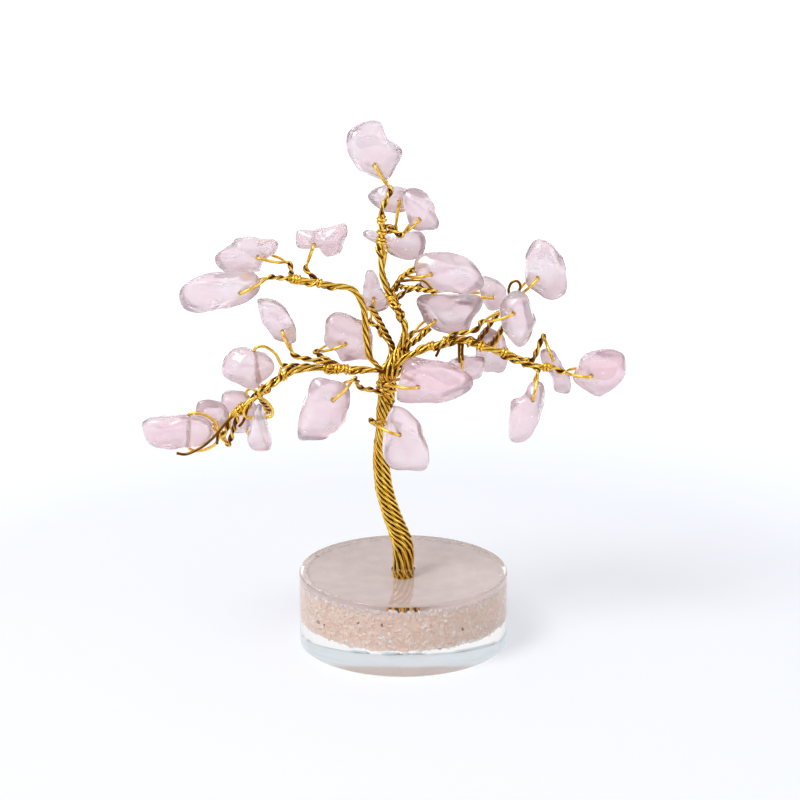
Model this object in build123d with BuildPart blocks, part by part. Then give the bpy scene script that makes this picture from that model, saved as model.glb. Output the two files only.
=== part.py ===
from build123d import *
import math
import os
from dataclasses import dataclass

# A small gemstone tree. Drilled chips of rose quartz hang on loops of gold wire. The two ends of each wire
# are twisted into a twig, twigs run into limbs, and all the wires are laid together as the trunk,
# which is cast into a resin disc over a bed of crushed quartz.
# The origin is the centre of the disc's underside, +Z is up, and the tree is seen from -Y.

# Cast base
BASE_RADIUS = 20.0
CLEAR_POUR_HEIGHT = 5.2
QUARTZ_BED_HEIGHT = 7.0
TOP_POUR_HEIGHT = 2.0
RIM_CHAMFER = 0.4
TRUNK_FOOT_DEPTH = 6.0
SOCKET_CLEARANCE = 0.06

# Wire
WIRE_DIAMETER = 0.50
WIRE_SIDES = 4
WIRE_GAP = 0.05
TWIG_PITCH = 5.5
LIMB_PITCH = 10.0
TRUNK_PITCH = 20.0
STEPS_PER_TURN = 6
TRUNK_STEPS_PER_TURN = 8

# Trunk: a core with bundles of wire laid round it, one bundle for each limb and one that ends at the hub
TRUNK_HEIGHT = 38.4
BUNDLE_WIRES = 4
BUNDLES = 5

# Quartz chips. The crown is laid out in chip lengths.
CHIP_LENGTH = 12.0
CHIP_RIM_SHARE = 0.42
CHIP_EDGE_SHARE = 0.2
BORE_CLEARANCE = 0.10
LOOP_CLEARANCE = 0.3
LEG_RUN = 1.0
SWING_DEGREES = 15

BASE_HEIGHT = CLEAR_POUR_HEIGHT + QUARTZ_BED_HEIGHT + TOP_POUR_HEIGHT
WIRE_RADIUS = WIRE_DIAMETER / 2


def wire_spacing(lay_radius, pitch, per_turn):
    """How far apart wires lie across a lay, so that they clear each other where they slant and between steps."""
    slant = math.atan(2 * math.pi * lay_radius / pitch)
    return (WIRE_DIAMETER / math.cos(slant) + WIRE_GAP) / math.cos(math.pi / per_turn)


PAIR_LAY_RADIUS = wire_spacing(WIRE_DIAMETER / 2, TWIG_PITCH, STEPS_PER_TURN) / 2
PAIR_RADIUS = PAIR_LAY_RADIUS + WIRE_RADIUS
BUNDLE_SPACING = max(
    wire_spacing(WIRE_DIAMETER, LIMB_PITCH, STEPS_PER_TURN),
    wire_spacing(3 * WIRE_DIAMETER, TRUNK_PITCH, TRUNK_STEPS_PER_TURN),
)
BUNDLE_LAY_RADIUS = BUNDLE_SPACING / 2 / math.sin(math.pi / BUNDLE_WIRES)
BUNDLE_RADIUS = BUNDLE_LAY_RADIUS + WIRE_RADIUS
TRUNK_LAY_RADIUS = (BUNDLE_LAY_RADIUS + BUNDLE_SPACING / 2) / math.sin(math.pi / BUNDLES)
TRUNK_RADIUS = TRUNK_LAY_RADIUS + BUNDLE_RADIUS
CORE_RADIUS = TRUNK_LAY_RADIUS - BUNDLE_LAY_RADIUS - BUNDLE_SPACING / 2
BORE_RADIUS = WIRE_RADIUS + BORE_CLEARANCE
LOOP_STANDOFF = WIRE_RADIUS + LOOP_CLEARANCE

# The trunk's line above the base's top: places across and up, as shares of the trunk's height
TRUNK_LINE_SHARES = [
    (0.000, 0.00),
    (-0.003, 0.13),
    (-0.055, 0.28),
    (-0.092, 0.41),
    (-0.108, 0.54),
    (-0.110, 0.66),
    (-0.098, 0.79),
    (-0.082, 0.90),
    (-0.078, 1.00),
]

# Each limb's slot round the trunk, counted anticlockwise from the back, and its line beyond the hub:
# places across, back and up from the top of the trunk's height, as shares of a chip's length
LIMB_SLOTS = {"back_limb": 0, "upper_left_limb": 1, "lower_left_limb": 2, "right_limb": 3, "crown_limb": 4}
LIMB_LINE_SHARES = {
    "back_limb": [
        (-0.18, 0.30, 0.36),
        (-0.28, 0.52, 0.48),
        (-0.36, 0.70, 0.56),
    ],
    "upper_left_limb": [
        (-0.52, -0.02, 0.30),
        (-0.58, -0.08, 0.72),
        (-0.63, -0.05, 1.12),
        (-0.78, 0.00, 1.36),
        (-1.13, 0.00, 1.43),
        (-1.59, -0.08, 1.53),
        (-1.78, -0.12, 1.56),
    ],
    "lower_left_limb": [
        (-0.62, -0.20, 0.14),
        (-0.95, -0.20, 0.14),
        (-1.37, -0.25, 0.18),
        (-1.70, -0.28, 0.13),
        (-2.02, -0.36, -0.02),
        (-2.26, -0.42, -0.22),
        (-2.46, -0.47, -0.38),
        (-2.64, -0.49, -0.52),
    ],
    "crown_limb": [
        (-0.05, 0.02, 0.44),
        (0.03, 0.00, 0.75),
        (-0.06, 0.00, 1.00),
        (-0.21, 0.00, 1.28),
        (-0.31, 0.00, 1.52),
        (-0.34, 0.00, 1.80),
        (-0.33, -0.05, 2.20),
        (-0.33, -0.06, 2.55),
    ],
    "right_limb": [
        (-0.08, -0.12, 0.22),
        (0.12, -0.14, 0.36),
        (0.40, -0.17, 0.48),
        (0.80, -0.20, 0.62),
        (1.26, -0.25, 0.50),
        (1.62, -0.25, 0.40),
        (1.98, -0.25, 0.22),
        (2.30, -0.25, 0.19),
    ],
}

# Outlines of tumbled chips, as shares of a chip's own length and width, from the drilled end on the left
NUGGET_SHARES = [
    (-0.50, -0.12), (-0.34, -0.42), (0.06, -0.50), (0.40, -0.34), (0.50, 0.08), (0.28, 0.46), (-0.14, 0.50), (-0.44, 0.24),
]
DROP_SHARES = [
    (-0.50, -0.04), (-0.26, -0.34), (0.12, -0.50), (0.42, -0.32), (0.50, 0.06), (0.32, 0.42), (0.00, 0.50), (-0.36, 0.26),
]
SLAB_SHARES = [
    (-0.50, -0.22), (-0.28, -0.48), (0.26, -0.50), (0.48, -0.24), (0.50, 0.24), (0.22, 0.50), (-0.30, 0.46), (-0.48, 0.18),
]
LEAF_SHARES = [
    (-0.50, 0.00), (-0.24, -0.38), (0.10, -0.50), (0.40, -0.24), (0.50, 0.12), (0.14, 0.50), (-0.24, 0.38),
]
WEDGE_SHARES = [
    (-0.50, -0.10), (-0.22, -0.44), (0.26, -0.50), (0.50, -0.28), (0.44, 0.18), (0.06, 0.50), (-0.34, 0.36),
]


@dataclass
class Chip:
    """One drilled chip. The shares are of the chip length, and the bore's are of the chip's own size.

    heading turns the chip's length in the front view, anticlockwise from +X, leg does the same for the
    wire's two legs as they leave the bore, and roll turns the chip and its bore about the chip's length.
    """

    place_shares: tuple
    size_shares: tuple
    outline_shares: list
    bore_shares: tuple
    heading: float
    leg: float
    roll: float = 0


@dataclass
class Twig:
    """One chip's wire: the limb that it leaves, where along it, and the places it passes, as shares."""

    limb: str
    along_share: float
    line_shares: tuple = ()


CHIPS = {
    1: Chip((-0.43, 0.00, 3.52), (0.88, 0.84, 0.50), NUGGET_SHARES, (-0.22, -0.06), 75, 300),
    2: Chip((-0.19, 0.50, 2.69), (0.72, 0.44, 0.36), DROP_SHARES, (-0.18, 0.00), 176, 240),
    3: Chip((0.26, 0.06, 2.60), (0.64, 0.54, 0.40), SLAB_SHARES, (-0.20, 0.00), 82, 225),
    4: Chip((-0.14, 0.56, 1.94), (1.00, 0.48, 0.40), LEAF_SHARES, (-0.12, 0.00), 4, 262),
    5: Chip((0.70, -0.12, 1.65), (1.08, 0.66, 0.48), DROP_SHARES, (-0.26, 0.00), 356, 190),
    6: Chip((0.72, 0.30, 0.92), (1.04, 0.64, 0.46), NUGGET_SHARES, (-0.22, -0.12), 0, 215),
    7: Chip((1.40, 0.62, 1.17), (0.56, 0.44, 0.32), SLAB_SHARES, (-0.06, 0.00), 95, 178),
    8: Chip((1.76, -0.14, 0.93), (0.92, 0.54, 0.40), SLAB_SHARES, (-0.14, -0.12), 275, 200),
    9: Chip((2.18, 0.30, 1.64), (1.02, 0.64, 0.46), WEDGE_SHARES, (-0.14, 0.12), 78, 225),
    10: Chip((1.41, 0.62, 0.24), (0.76, 0.50, 0.36), SLAB_SHARES, (0.10, 0.00), 95, 60),
    11: Chip((0.99, 0.12, 0.07), (0.60, 0.46, 0.34), LEAF_SHARES, (-0.12, 0.00), 352, 95),
    12: Chip((0.48, -0.48, 0.03), (1.18, 0.74, 0.50), WEDGE_SHARES, (-0.22, -0.04), 2, 180),
    13: Chip((0.04, -0.62, -0.84), (1.04, 0.74, 0.50), NUGGET_SHARES, (-0.12, -0.12), 275, 160),
    14: Chip((2.36, 0.14, 0.04), (0.78, 0.48, 0.36), DROP_SHARES, (-0.26, 0.08), 290, 112),
    15: Chip((3.04, -0.25, 0.10), (0.82, 0.76, 0.46), NUGGET_SHARES, (-0.18, 0.00), 0, 178),
    16: Chip((1.92, -0.38, -0.48), (1.00, 0.54, 0.40), LEAF_SHARES, (-0.24, 0.00), 254, 78),
    17: Chip((-2.42, 0.20, 1.86), (0.98, 0.60, 0.42), WEDGE_SHARES, (-0.18, 0.00), 182, 345),
    18: Chip((-1.26, 0.14, 2.10), (0.82, 0.48, 0.38), SLAB_SHARES, (-0.14, -0.04), 10, 250),
    19: Chip((-2.80, -0.34, 1.40), (1.26, 0.66, 0.46), DROP_SHARES, (-0.26, 0.00), 184, 25),
    20: Chip((-1.92, -0.38, 0.97), (0.82, 0.58, 0.38), LEAF_SHARES, (-0.20, 0.00), 118, 290),
    21: Chip((-2.42, -0.05, 0.12), (0.82, 0.46, 0.60), SLAB_SHARES, (-0.16, 0.00), 184, 4, 90),
    22: Chip((-0.86, 0.36, 0.53), (0.78, 0.76, 0.42), NUGGET_SHARES, (-0.10, 0.04), 80, 200),
    23: Chip((-1.20, -0.60, -0.39), (1.04, 0.80, 0.52), WEDGE_SHARES, (-0.22, 0.12), 262, 40),
    24: Chip((-0.46, 0.86, 1.16), (0.66, 0.44, 0.34), SLAB_SHARES, (-0.16, 0.00), 85, 262),
    25: Chip((-3.00, -0.08, -0.69), (0.48, 0.42, 0.32), WEDGE_SHARES, (-0.12, 0.00), 120, 300),
    26: Chip((-2.60, 0.34, -0.70), (0.60, 0.40, 0.54), LEAF_SHARES, (-0.20, 0.00), 180, 5, 90),
    27: Chip((-2.22, -0.62, -0.68), (0.76, 0.38, 0.36), DROP_SHARES, (-0.22, 0.00), 272, 92, 90),
    28: Chip((-3.50, -0.52, -0.76), (1.12, 0.46, 0.52), SLAB_SHARES, (-0.16, 0.00), 178, 352, 90),
}

TWIGS = {
    1: Twig("crown_limb", 1.0),
    2: Twig("crown_limb", 0.88),
    3: Twig("crown_limb", 0.93),
    4: Twig("crown_limb", 0.54),
    5: Twig("crown_limb", 0.52),
    6: Twig("crown_limb", 0.14),
    7: Twig("crown_limb", 0.47, ((0.20, 0.14, 1.38), (0.48, 0.40, 1.30), (0.74, 0.60, 1.24))),
    8: Twig("right_limb", 0.42, ((1.12, -0.30, 0.80),)),
    9: Twig("right_limb", 0.55, ((1.46, 0.36, 0.88),)),
    10: Twig("right_limb", 0.62),
    11: Twig("right_limb", 0.34),
    12: Twig("trunk", 0.93),
    13: Twig("trunk", 0.78),
    14: Twig("right_limb", 0.88),
    15: Twig("right_limb", 1.0),
    16: Twig("right_limb", 0.75),
    17: Twig("upper_left_limb", 0.97),
    18: Twig("upper_left_limb", 0.84),
    19: Twig("upper_left_limb", 1.0),
    20: Twig("lower_left_limb", 0.34, ((-1.52, -0.30, 0.34),)),
    21: Twig("lower_left_limb", 0.40),
    22: Twig("lower_left_limb", 0.28),
    23: Twig("trunk", 0.93, ((-0.66, -0.30, -0.12),)),
    24: Twig("back_limb", 1.0),
    25: Twig("lower_left_limb", 0.96),
    26: Twig("lower_left_limb", 0.80),
    27: Twig("lower_left_limb", 0.66),
    28: Twig("lower_left_limb", 1.0),
}

BASE_TOP = Vector(0, 0, BASE_HEIGHT)
UP = Vector(0, 0, 1)
BACK = Vector(0, 1, 0)
CROWN_ORIGIN = BASE_TOP + UP * TRUNK_HEIGHT


def crown_place(shares):
    """A place in the crown, from its shares of a chip's length."""
    return CROWN_ORIGIN + Vector(*shares) * CHIP_LENGTH


def stations(guide, steps, side):
    """Places at even steps along a guide, each with two directions across it that don't turn about it."""
    found = []
    for step in range(steps + 1):
        distance = guide.length * step / steps
        along = guide.tangent_at(distance, position_mode=PositionMode.LENGTH)
        side = (side - along * side.dot(along)).normalized()
        place = guide.position_at(distance, position_mode=PositionMode.LENGTH)
        found.append((place, side, along.cross(side)))
    return found


def off_guide(station, offset, degrees):
    """The place that lies off a station by an offset across the guide, turned about it."""
    place, side, other = station
    turned = offset.rotate(Axis.Z, degrees)
    return place + side * turned.X + other * turned.Y


def steps_for(length, pitch, per_turn):
    """How many even steps a lay of this pitch needs along a length."""
    return max(2, math.ceil(length / pitch * per_turn))


def draw_wire(points):
    """Draw a wire through its points, mitred at each."""
    with BuildPart() as wire:
        with BuildLine():
            path = Polyline(*points)
        with BuildSketch(Plane(path @ 0, z_dir=path % 0)):
            RegularPolygon(WIRE_RADIUS, WIRE_SIDES)
        sweep(path=path, transition=Transition.RIGHT)
    return wire.part


with BuildLine(mode=Mode.PRIVATE) as trunk_line:
    Spline(
        BASE_TOP - UP * TRUNK_FOOT_DEPTH,
        *[BASE_TOP + Vector(across, 0, up) * TRUNK_HEIGHT for across, up in TRUNK_LINE_SHARES],
        tangents=[UP, UP],
    )
trunk_guide = trunk_line.edges()[0]
trunk_steps = steps_for(trunk_guide.length, TRUNK_PITCH, TRUNK_STEPS_PER_TURN)
trunk_stations = stations(trunk_guide, trunk_steps, BACK)
hub_side = trunk_stations[-1][1]


def trunk_points(slot, wire):
    """One wire's places up the trunk: its bundle's slot round the core, and the wire's own place in it."""
    offset = Vector(TRUNK_LAY_RADIUS, 0).rotate(Axis.Z, 360 / BUNDLES * slot)
    offset += Vector(BUNDLE_LAY_RADIUS, 0).rotate(Axis.Z, 360 / BUNDLE_WIRES * wire)
    points = []
    for step, station in enumerate(trunk_stations):
        left_to_hub = trunk_guide.length * (trunk_steps - step) / trunk_steps
        points.append(off_guide(station, offset, 360 * left_to_hub / TRUNK_PITCH))
    return points


def limb_guide(name):
    """A limb's line, from its bundle's place at the hub to its last fork."""
    slot_offset = Vector(TRUNK_LAY_RADIUS, 0).rotate(Axis.Z, 360 / BUNDLES * LIMB_SLOTS[name])
    places = [crown_place(shares) for shares in LIMB_LINE_SHARES[name]]
    start = off_guide(trunk_stations[-1], slot_offset, 0)
    with BuildLine(mode=Mode.PRIVATE) as line:
        Spline(start, start + UP * BUNDLE_RADIUS, *places)
    return line.edges()[0]


def limb_points(guide, wire):
    """One wire's places along a limb beyond the hub, turning with the limb's lay."""
    steps = steps_for(guide.length, LIMB_PITCH, STEPS_PER_TURN)
    offset = Vector(BUNDLE_LAY_RADIUS, 0).rotate(Axis.Z, 360 / BUNDLE_WIRES * wire)
    laid = []
    for step, station in enumerate(stations(guide, steps, hub_side)):
        laid.append(off_guide(station, offset, -360 * guide.length * step / steps / LIMB_PITCH))
    return laid[1:]


class ChipFrame:
    """Where a chip's bore, faces and wire loop lie, worked out from its shares."""

    def __init__(self, chip):
        lengthways = Vector(1, 0, 0).rotate(Axis.Y, -chip.heading)
        middle = crown_place(chip.place_shares)
        bore_way = (-BACK).rotate(Axis((0, 0, 0), lengthways), chip.roll)
        self.plane = Plane(middle, x_dir=lengthways, z_dir=bore_way)
        self.size = Vector(*chip.size_shares) * CHIP_LENGTH
        self.outline = [Vector(x * self.size.X, y * self.size.Y) for x, y in chip.outline_shares]
        self.bore = Vector(chip.bore_shares[0] * self.size.X, chip.bore_shares[1] * self.size.Y)
        self.half = self.size.Z / 2
        self.rim_half = self.half * CHIP_RIM_SHARE
        self.edge = self.size.Y * CHIP_EDGE_SHARE
        self.leg = Vector(1, 0).rotate(Axis.Z, chip.leg - chip.heading)

    def reach(self):
        """How far the chip's rim comes towards its legs, anywhere in its swing."""
        found = 0
        for corner in self.outline:
            arm = corner - self.bore
            off = max(0, arm.get_angle(self.leg) - SWING_DEGREES)
            found = max(found, arm.length * math.cos(math.radians(off)))
        return found

    def world(self, along_leg, along_bore):
        """The place so far from the bore's middle along the legs and along the bore."""
        return self.plane.from_local_coords(self.bore + self.leg * along_leg + UP * along_bore)

    def tip(self):
        """Where the two legs meet and the twist begins."""
        return self.world(self.reach() + LOOP_STANDOFF + LEG_RUN, 0)

    def loop_points(self):
        """The wire's places from the tip round through the bore and back to the tip."""
        reach = self.reach()
        leg = [
            (reach + LOOP_STANDOFF, self.rim_half + LOOP_STANDOFF),
            (max(0, reach - self.edge), self.half + LOOP_STANDOFF),
            (0, self.half + LOOP_STANDOFF),
        ]
        out = [self.world(away, up) for away, up in leg]
        back = [self.world(away, -up) for away, up in reversed(leg)]
        return out + back


def twig_guide(twig, frame):
    """A twig's line, from beside its limb, or from the limb's end, to the tip at its chip."""
    carrier, radius = carriers[twig.limb]
    distance = carrier.length * twig.along_share
    place = carrier.position_at(distance, position_mode=PositionMode.LENGTH)
    along = carrier.tangent_at(distance, position_mode=PositionMode.LENGTH)
    via = [crown_place(shares) for shares in twig.line_shares]
    ahead = (via + [frame.tip()])[0]
    if twig.along_share < 1:
        aside = ahead - place
        aside = (aside - along * aside.dot(along)).normalized()
        start = place + aside * (radius + PAIR_RADIUS + WIRE_GAP)
    else:
        start = place + along * WIRE_DIAMETER
    into_chip = (frame.world(0, 0) - frame.tip()).normalized()
    with BuildLine(mode=Mode.PRIVATE) as line:
        Spline(start, *via, frame.tip(), tangents=[(ahead - start).normalized(), into_chip])
    return line.edges()[0]


def twig_points(guide, frame):
    """A chip's whole wire: up one side of the twist, round the loop and down the other side."""
    steps = steps_for(guide.length, TWIG_PITCH, STEPS_PER_TURN)
    along_twig = stations(guide, steps, UP if abs((guide % 0).Z) < abs((guide % 0).X) else BACK)
    bore_way = frame.plane.z_dir
    _, side, other = along_twig[-1]
    at_tip = math.degrees(math.atan2(bore_way.dot(other), bore_way.dot(side)))
    near, far = [], []
    for step, station in enumerate(along_twig):
        turn = at_tip + 360 * guide.length * (steps - step) / steps / TWIG_PITCH
        near.append(off_guide(station, Vector(PAIR_LAY_RADIUS, 0), turn))
        far.append(off_guide(station, Vector(-PAIR_LAY_RADIUS, 0), turn))
    return near + frame.loop_points() + far[::-1]


carriers = {name: (limb_guide(name), BUNDLE_RADIUS) for name in LIMB_LINE_SHARES}
carriers["trunk"] = (trunk_guide, TRUNK_RADIUS)
frames = {number: ChipFrame(chip) for number, chip in CHIPS.items()}

os.makedirs("parts", exist_ok=True)

# The disc is three pours, and the trunk's foot stands in a socket that goes through the upper two
socket_radius = TRUNK_RADIUS + SOCKET_CLEARANCE
socket_floor = BASE_HEIGHT - TRUNK_FOOT_DEPTH - SOCKET_CLEARANCE
bed_floor = CLEAR_POUR_HEIGHT
bed_top = CLEAR_POUR_HEIGHT + QUARTZ_BED_HEIGHT

with BuildPart() as clear_pour:
    with BuildSketch():
        Circle(BASE_RADIUS)
    extrude(amount=CLEAR_POUR_HEIGHT)
    chamfer(clear_pour.faces().sort_by(Axis.Z)[0].edges(), RIM_CHAMFER)

with BuildPart() as quartz_bed:
    with BuildSketch(Plane.XY.offset(bed_floor)):
        Circle(BASE_RADIUS)
    extrude(amount=QUARTZ_BED_HEIGHT)
    with BuildSketch(Plane.XY.offset(socket_floor)):
        Circle(socket_radius)
    extrude(amount=bed_top - socket_floor, mode=Mode.SUBTRACT)

with BuildPart() as top_pour:
    with BuildSketch(Plane.XY.offset(bed_top)):
        Circle(BASE_RADIUS)
        Circle(socket_radius, mode=Mode.SUBTRACT)
    extrude(amount=TOP_POUR_HEIGHT)
    rim = top_pour.faces().sort_by(Axis.Z)[-1].edges().sort_by(SortBy.RADIUS)[-1]
    chamfer(rim, RIM_CHAMFER)

clear_pour.part.label = "clear_pour"
export_step(clear_pour.part, "parts/clear_pour.step")
quartz_bed.part.label = "quartz_bed"
export_step(quartz_bed.part, "parts/quartz_bed.step")
top_pour.part.label = "top_pour"
export_step(top_pour.part, "parts/top_pour.step")

# The trunk's core, the middle wires of the bundles, drawn as one
with BuildPart() as trunk_core:
    with BuildLine():
        core_path = Polyline(*[place for place, side, other in trunk_stations])
    with BuildSketch(Plane(core_path @ 0, z_dir=core_path % 0)):
        RegularPolygon(CORE_RADIUS, TRUNK_STEPS_PER_TURN)
    sweep(path=core_path, transition=Transition.RIGHT)
trunk_core.part.label = "trunk_core"
export_step(trunk_core.part, "parts/trunk_core.step")

# Each limb's wires run unbroken from the trunk's foot to the limb's last fork
for name in LIMB_LINE_SHARES:
    guide, radius = carriers[name]
    with BuildPart() as limb:
        for wire in range(BUNDLE_WIRES):
            add(draw_wire(trunk_points(LIMB_SLOTS[name], wire) + limb_points(guide, wire)))
    limb.part.label = name
    export_step(limb.part, f"parts/{name}.step")

# Each chip is cut to its outline, eased all round on both faces, and drilled
for number, frame in frames.items():
    with BuildPart() as quartz:
        with BuildSketch(frame.plane):
            Polygon(*frame.outline, align=None)
        extrude(amount=frame.half, both=True)
        thickness = Axis(frame.plane.origin, frame.plane.z_dir)
        for end in (0, -1):
            cap = quartz.faces().sort_by(thickness)[end]
            chamfer(cap.edges(), length=frame.edge, length2=frame.half - frame.rim_half, reference=cap)
        with BuildSketch(frame.plane):
            with Locations(frame.bore):
                Circle(BORE_RADIUS)
        extrude(amount=frame.size.Z, both=True, mode=Mode.SUBTRACT)
    quartz.part.label = f"quartz_{number:02d}"
    export_step(quartz.part, f"parts/quartz_{number:02d}.step")

# Wires that leave their limb side by side share a node
WIRE_NODES = [(1,), (2, 3), (4,), (5, 7), (6,), (8,), (9,), (10, 11), (12,), (13,), (14,), (15,), (16,), (17, 18)]
WIRE_NODES += [(19,), (20,), (21,), (22,), (23,), (24,), (25, 26), (27,), (28,)]
for numbers in WIRE_NODES:
    with BuildPart() as wires:
        for number in numbers:
            guide = twig_guide(TWIGS[number], frames[number])
            add(draw_wire(twig_points(guide, frames[number])))
    name = "wire_" + "_".join(f"{number:02d}" for number in numbers)
    wires.part.label = name
    export_step(wires.part, f"parts/{name}.step")
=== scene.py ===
"""Gemstone tree: drilled rose quartz chips on twisted gold wire, cast into a round resin base.

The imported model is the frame. Each sub-assembly is a class that builds its meshes and dresses them. The
crown is laid out in chip lengths, measured from the top of the trunk, and the tree is seen from -Y.
"""

from __future__ import annotations

import logging
import math
import random
from dataclasses import dataclass, field
from enum import Enum

import bmesh
import bpy
from mathutils import Matrix, Vector, noise

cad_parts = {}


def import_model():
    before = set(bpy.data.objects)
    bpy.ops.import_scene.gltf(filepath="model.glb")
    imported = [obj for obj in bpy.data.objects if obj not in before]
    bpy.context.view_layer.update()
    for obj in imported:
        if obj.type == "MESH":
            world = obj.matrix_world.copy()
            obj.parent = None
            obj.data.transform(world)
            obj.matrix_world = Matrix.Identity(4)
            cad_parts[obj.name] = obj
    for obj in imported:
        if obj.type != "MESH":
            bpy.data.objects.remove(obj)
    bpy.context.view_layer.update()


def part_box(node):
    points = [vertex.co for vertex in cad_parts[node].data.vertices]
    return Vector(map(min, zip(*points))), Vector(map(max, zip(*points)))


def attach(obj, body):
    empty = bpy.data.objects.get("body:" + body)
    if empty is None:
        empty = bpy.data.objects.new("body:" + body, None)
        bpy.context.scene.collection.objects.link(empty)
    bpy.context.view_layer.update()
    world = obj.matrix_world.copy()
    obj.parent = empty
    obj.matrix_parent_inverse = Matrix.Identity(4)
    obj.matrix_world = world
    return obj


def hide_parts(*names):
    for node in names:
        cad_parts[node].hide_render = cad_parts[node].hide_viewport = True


LOG = logging.getLogger("gem_tree")
MM = 0.001
NOISE_SEED = 7
RING_SIDES = 10
UP = Vector((0.0, 0.0, 1.0))
BACK = Vector((0.0, 1.0, 0.0))
Shares = tuple[float, float, float]
Colour = tuple[float, float, float]
Outline = tuple[tuple[float, float], ...]


# Shader and geometry sockets


class Value:
    """A number socket of a node tree, which Python's operators work on."""

    def __init__(self, board: "Board", socket: bpy.types.NodeSocket) -> None:
        """Wraps a socket.

        Args:
            board: the tree that the socket is in.
            socket: the output that carries the number.
        """
        self.board = board
        self.socket = socket

    def _join(self, operation: str, first: object, second: object) -> "Value":
        """Adds a Math node and returns its output."""
        return self.board.number("ShaderNodeMath", {"operation": operation}, first, second)

    def __add__(self, other: object) -> "Value":
        """self + other"""
        return self._join("ADD", self, other)

    def __radd__(self, other: object) -> "Value":
        """other + self"""
        return self._join("ADD", other, self)

    def __sub__(self, other: object) -> "Value":
        """self - other"""
        return self._join("SUBTRACT", self, other)

    def __rsub__(self, other: object) -> "Value":
        """other - self"""
        return self._join("SUBTRACT", other, self)

    def __mul__(self, other: object) -> "Value":
        """self * other"""
        return self._join("MULTIPLY", self, other)

    def __rmul__(self, other: object) -> "Value":
        """other * self"""
        return self._join("MULTIPLY", other, self)

    def __truediv__(self, other: object) -> "Value":
        """self / other"""
        return self._join("DIVIDE", self, other)

    def least(self, other: object) -> "Value":
        """The smaller of self and other."""
        return self._join("MINIMUM", self, other)

    def most(self, other: object) -> "Value":
        """The larger of self and other."""
        return self._join("MAXIMUM", self, other)

    def clamped(self) -> "Value":
        """self, kept between 0 and 1."""
        return self.most(0.0).least(1.0)


class Arrow:
    """A vector socket of a node tree, which Python's operators work on through Vector Math nodes."""

    def __init__(self, board: "Board", socket: bpy.types.NodeSocket) -> None:
        """Wraps a socket.

        Args:
            board: the tree that the socket is in.
            socket: the output that carries the vector.
        """
        self.board = board
        self.socket = socket

    def _join(self, operation: str, *others: object) -> "Arrow":
        """Adds a Vector Math node and returns its vector output."""
        return self.board.vector("ShaderNodeVectorMath", {"operation": operation}, self, *others)

    def __add__(self, other: object) -> "Arrow":
        """self + other"""
        return self._join("ADD", other)

    def __sub__(self, other: object) -> "Arrow":
        """self - other"""
        return self._join("SUBTRACT", other)

    def __mul__(self, amount: object) -> "Arrow":
        """self scaled by a number"""
        return self.board.vector("ShaderNodeVectorMath", {"operation": "SCALE"}, self, Scale=amount)

    def cross(self, other: object) -> "Arrow":
        """The cross product of self and other."""
        return self._join("CROSS_PRODUCT", other)

    def unit(self) -> "Arrow":
        """self, one long."""
        return self._join("NORMALIZE")

    def _measure(self, operation: str, *others: object) -> Value:
        """Adds a Vector Math node and returns its number output."""
        return self.board.number("ShaderNodeVectorMath", {"operation": operation}, self, *others, out="Value")

    def dot(self, other: object) -> Value:
        """The dot product of self and other."""
        return self._measure("DOT_PRODUCT", other)

    def length(self) -> Value:
        """How long self is."""
        return self._measure("LENGTH")

    def part(self, axis: str) -> Value:
        """One of X, Y and Z."""
        return self.board.number("ShaderNodeSeparateXYZ", None, self, out=axis)


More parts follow.
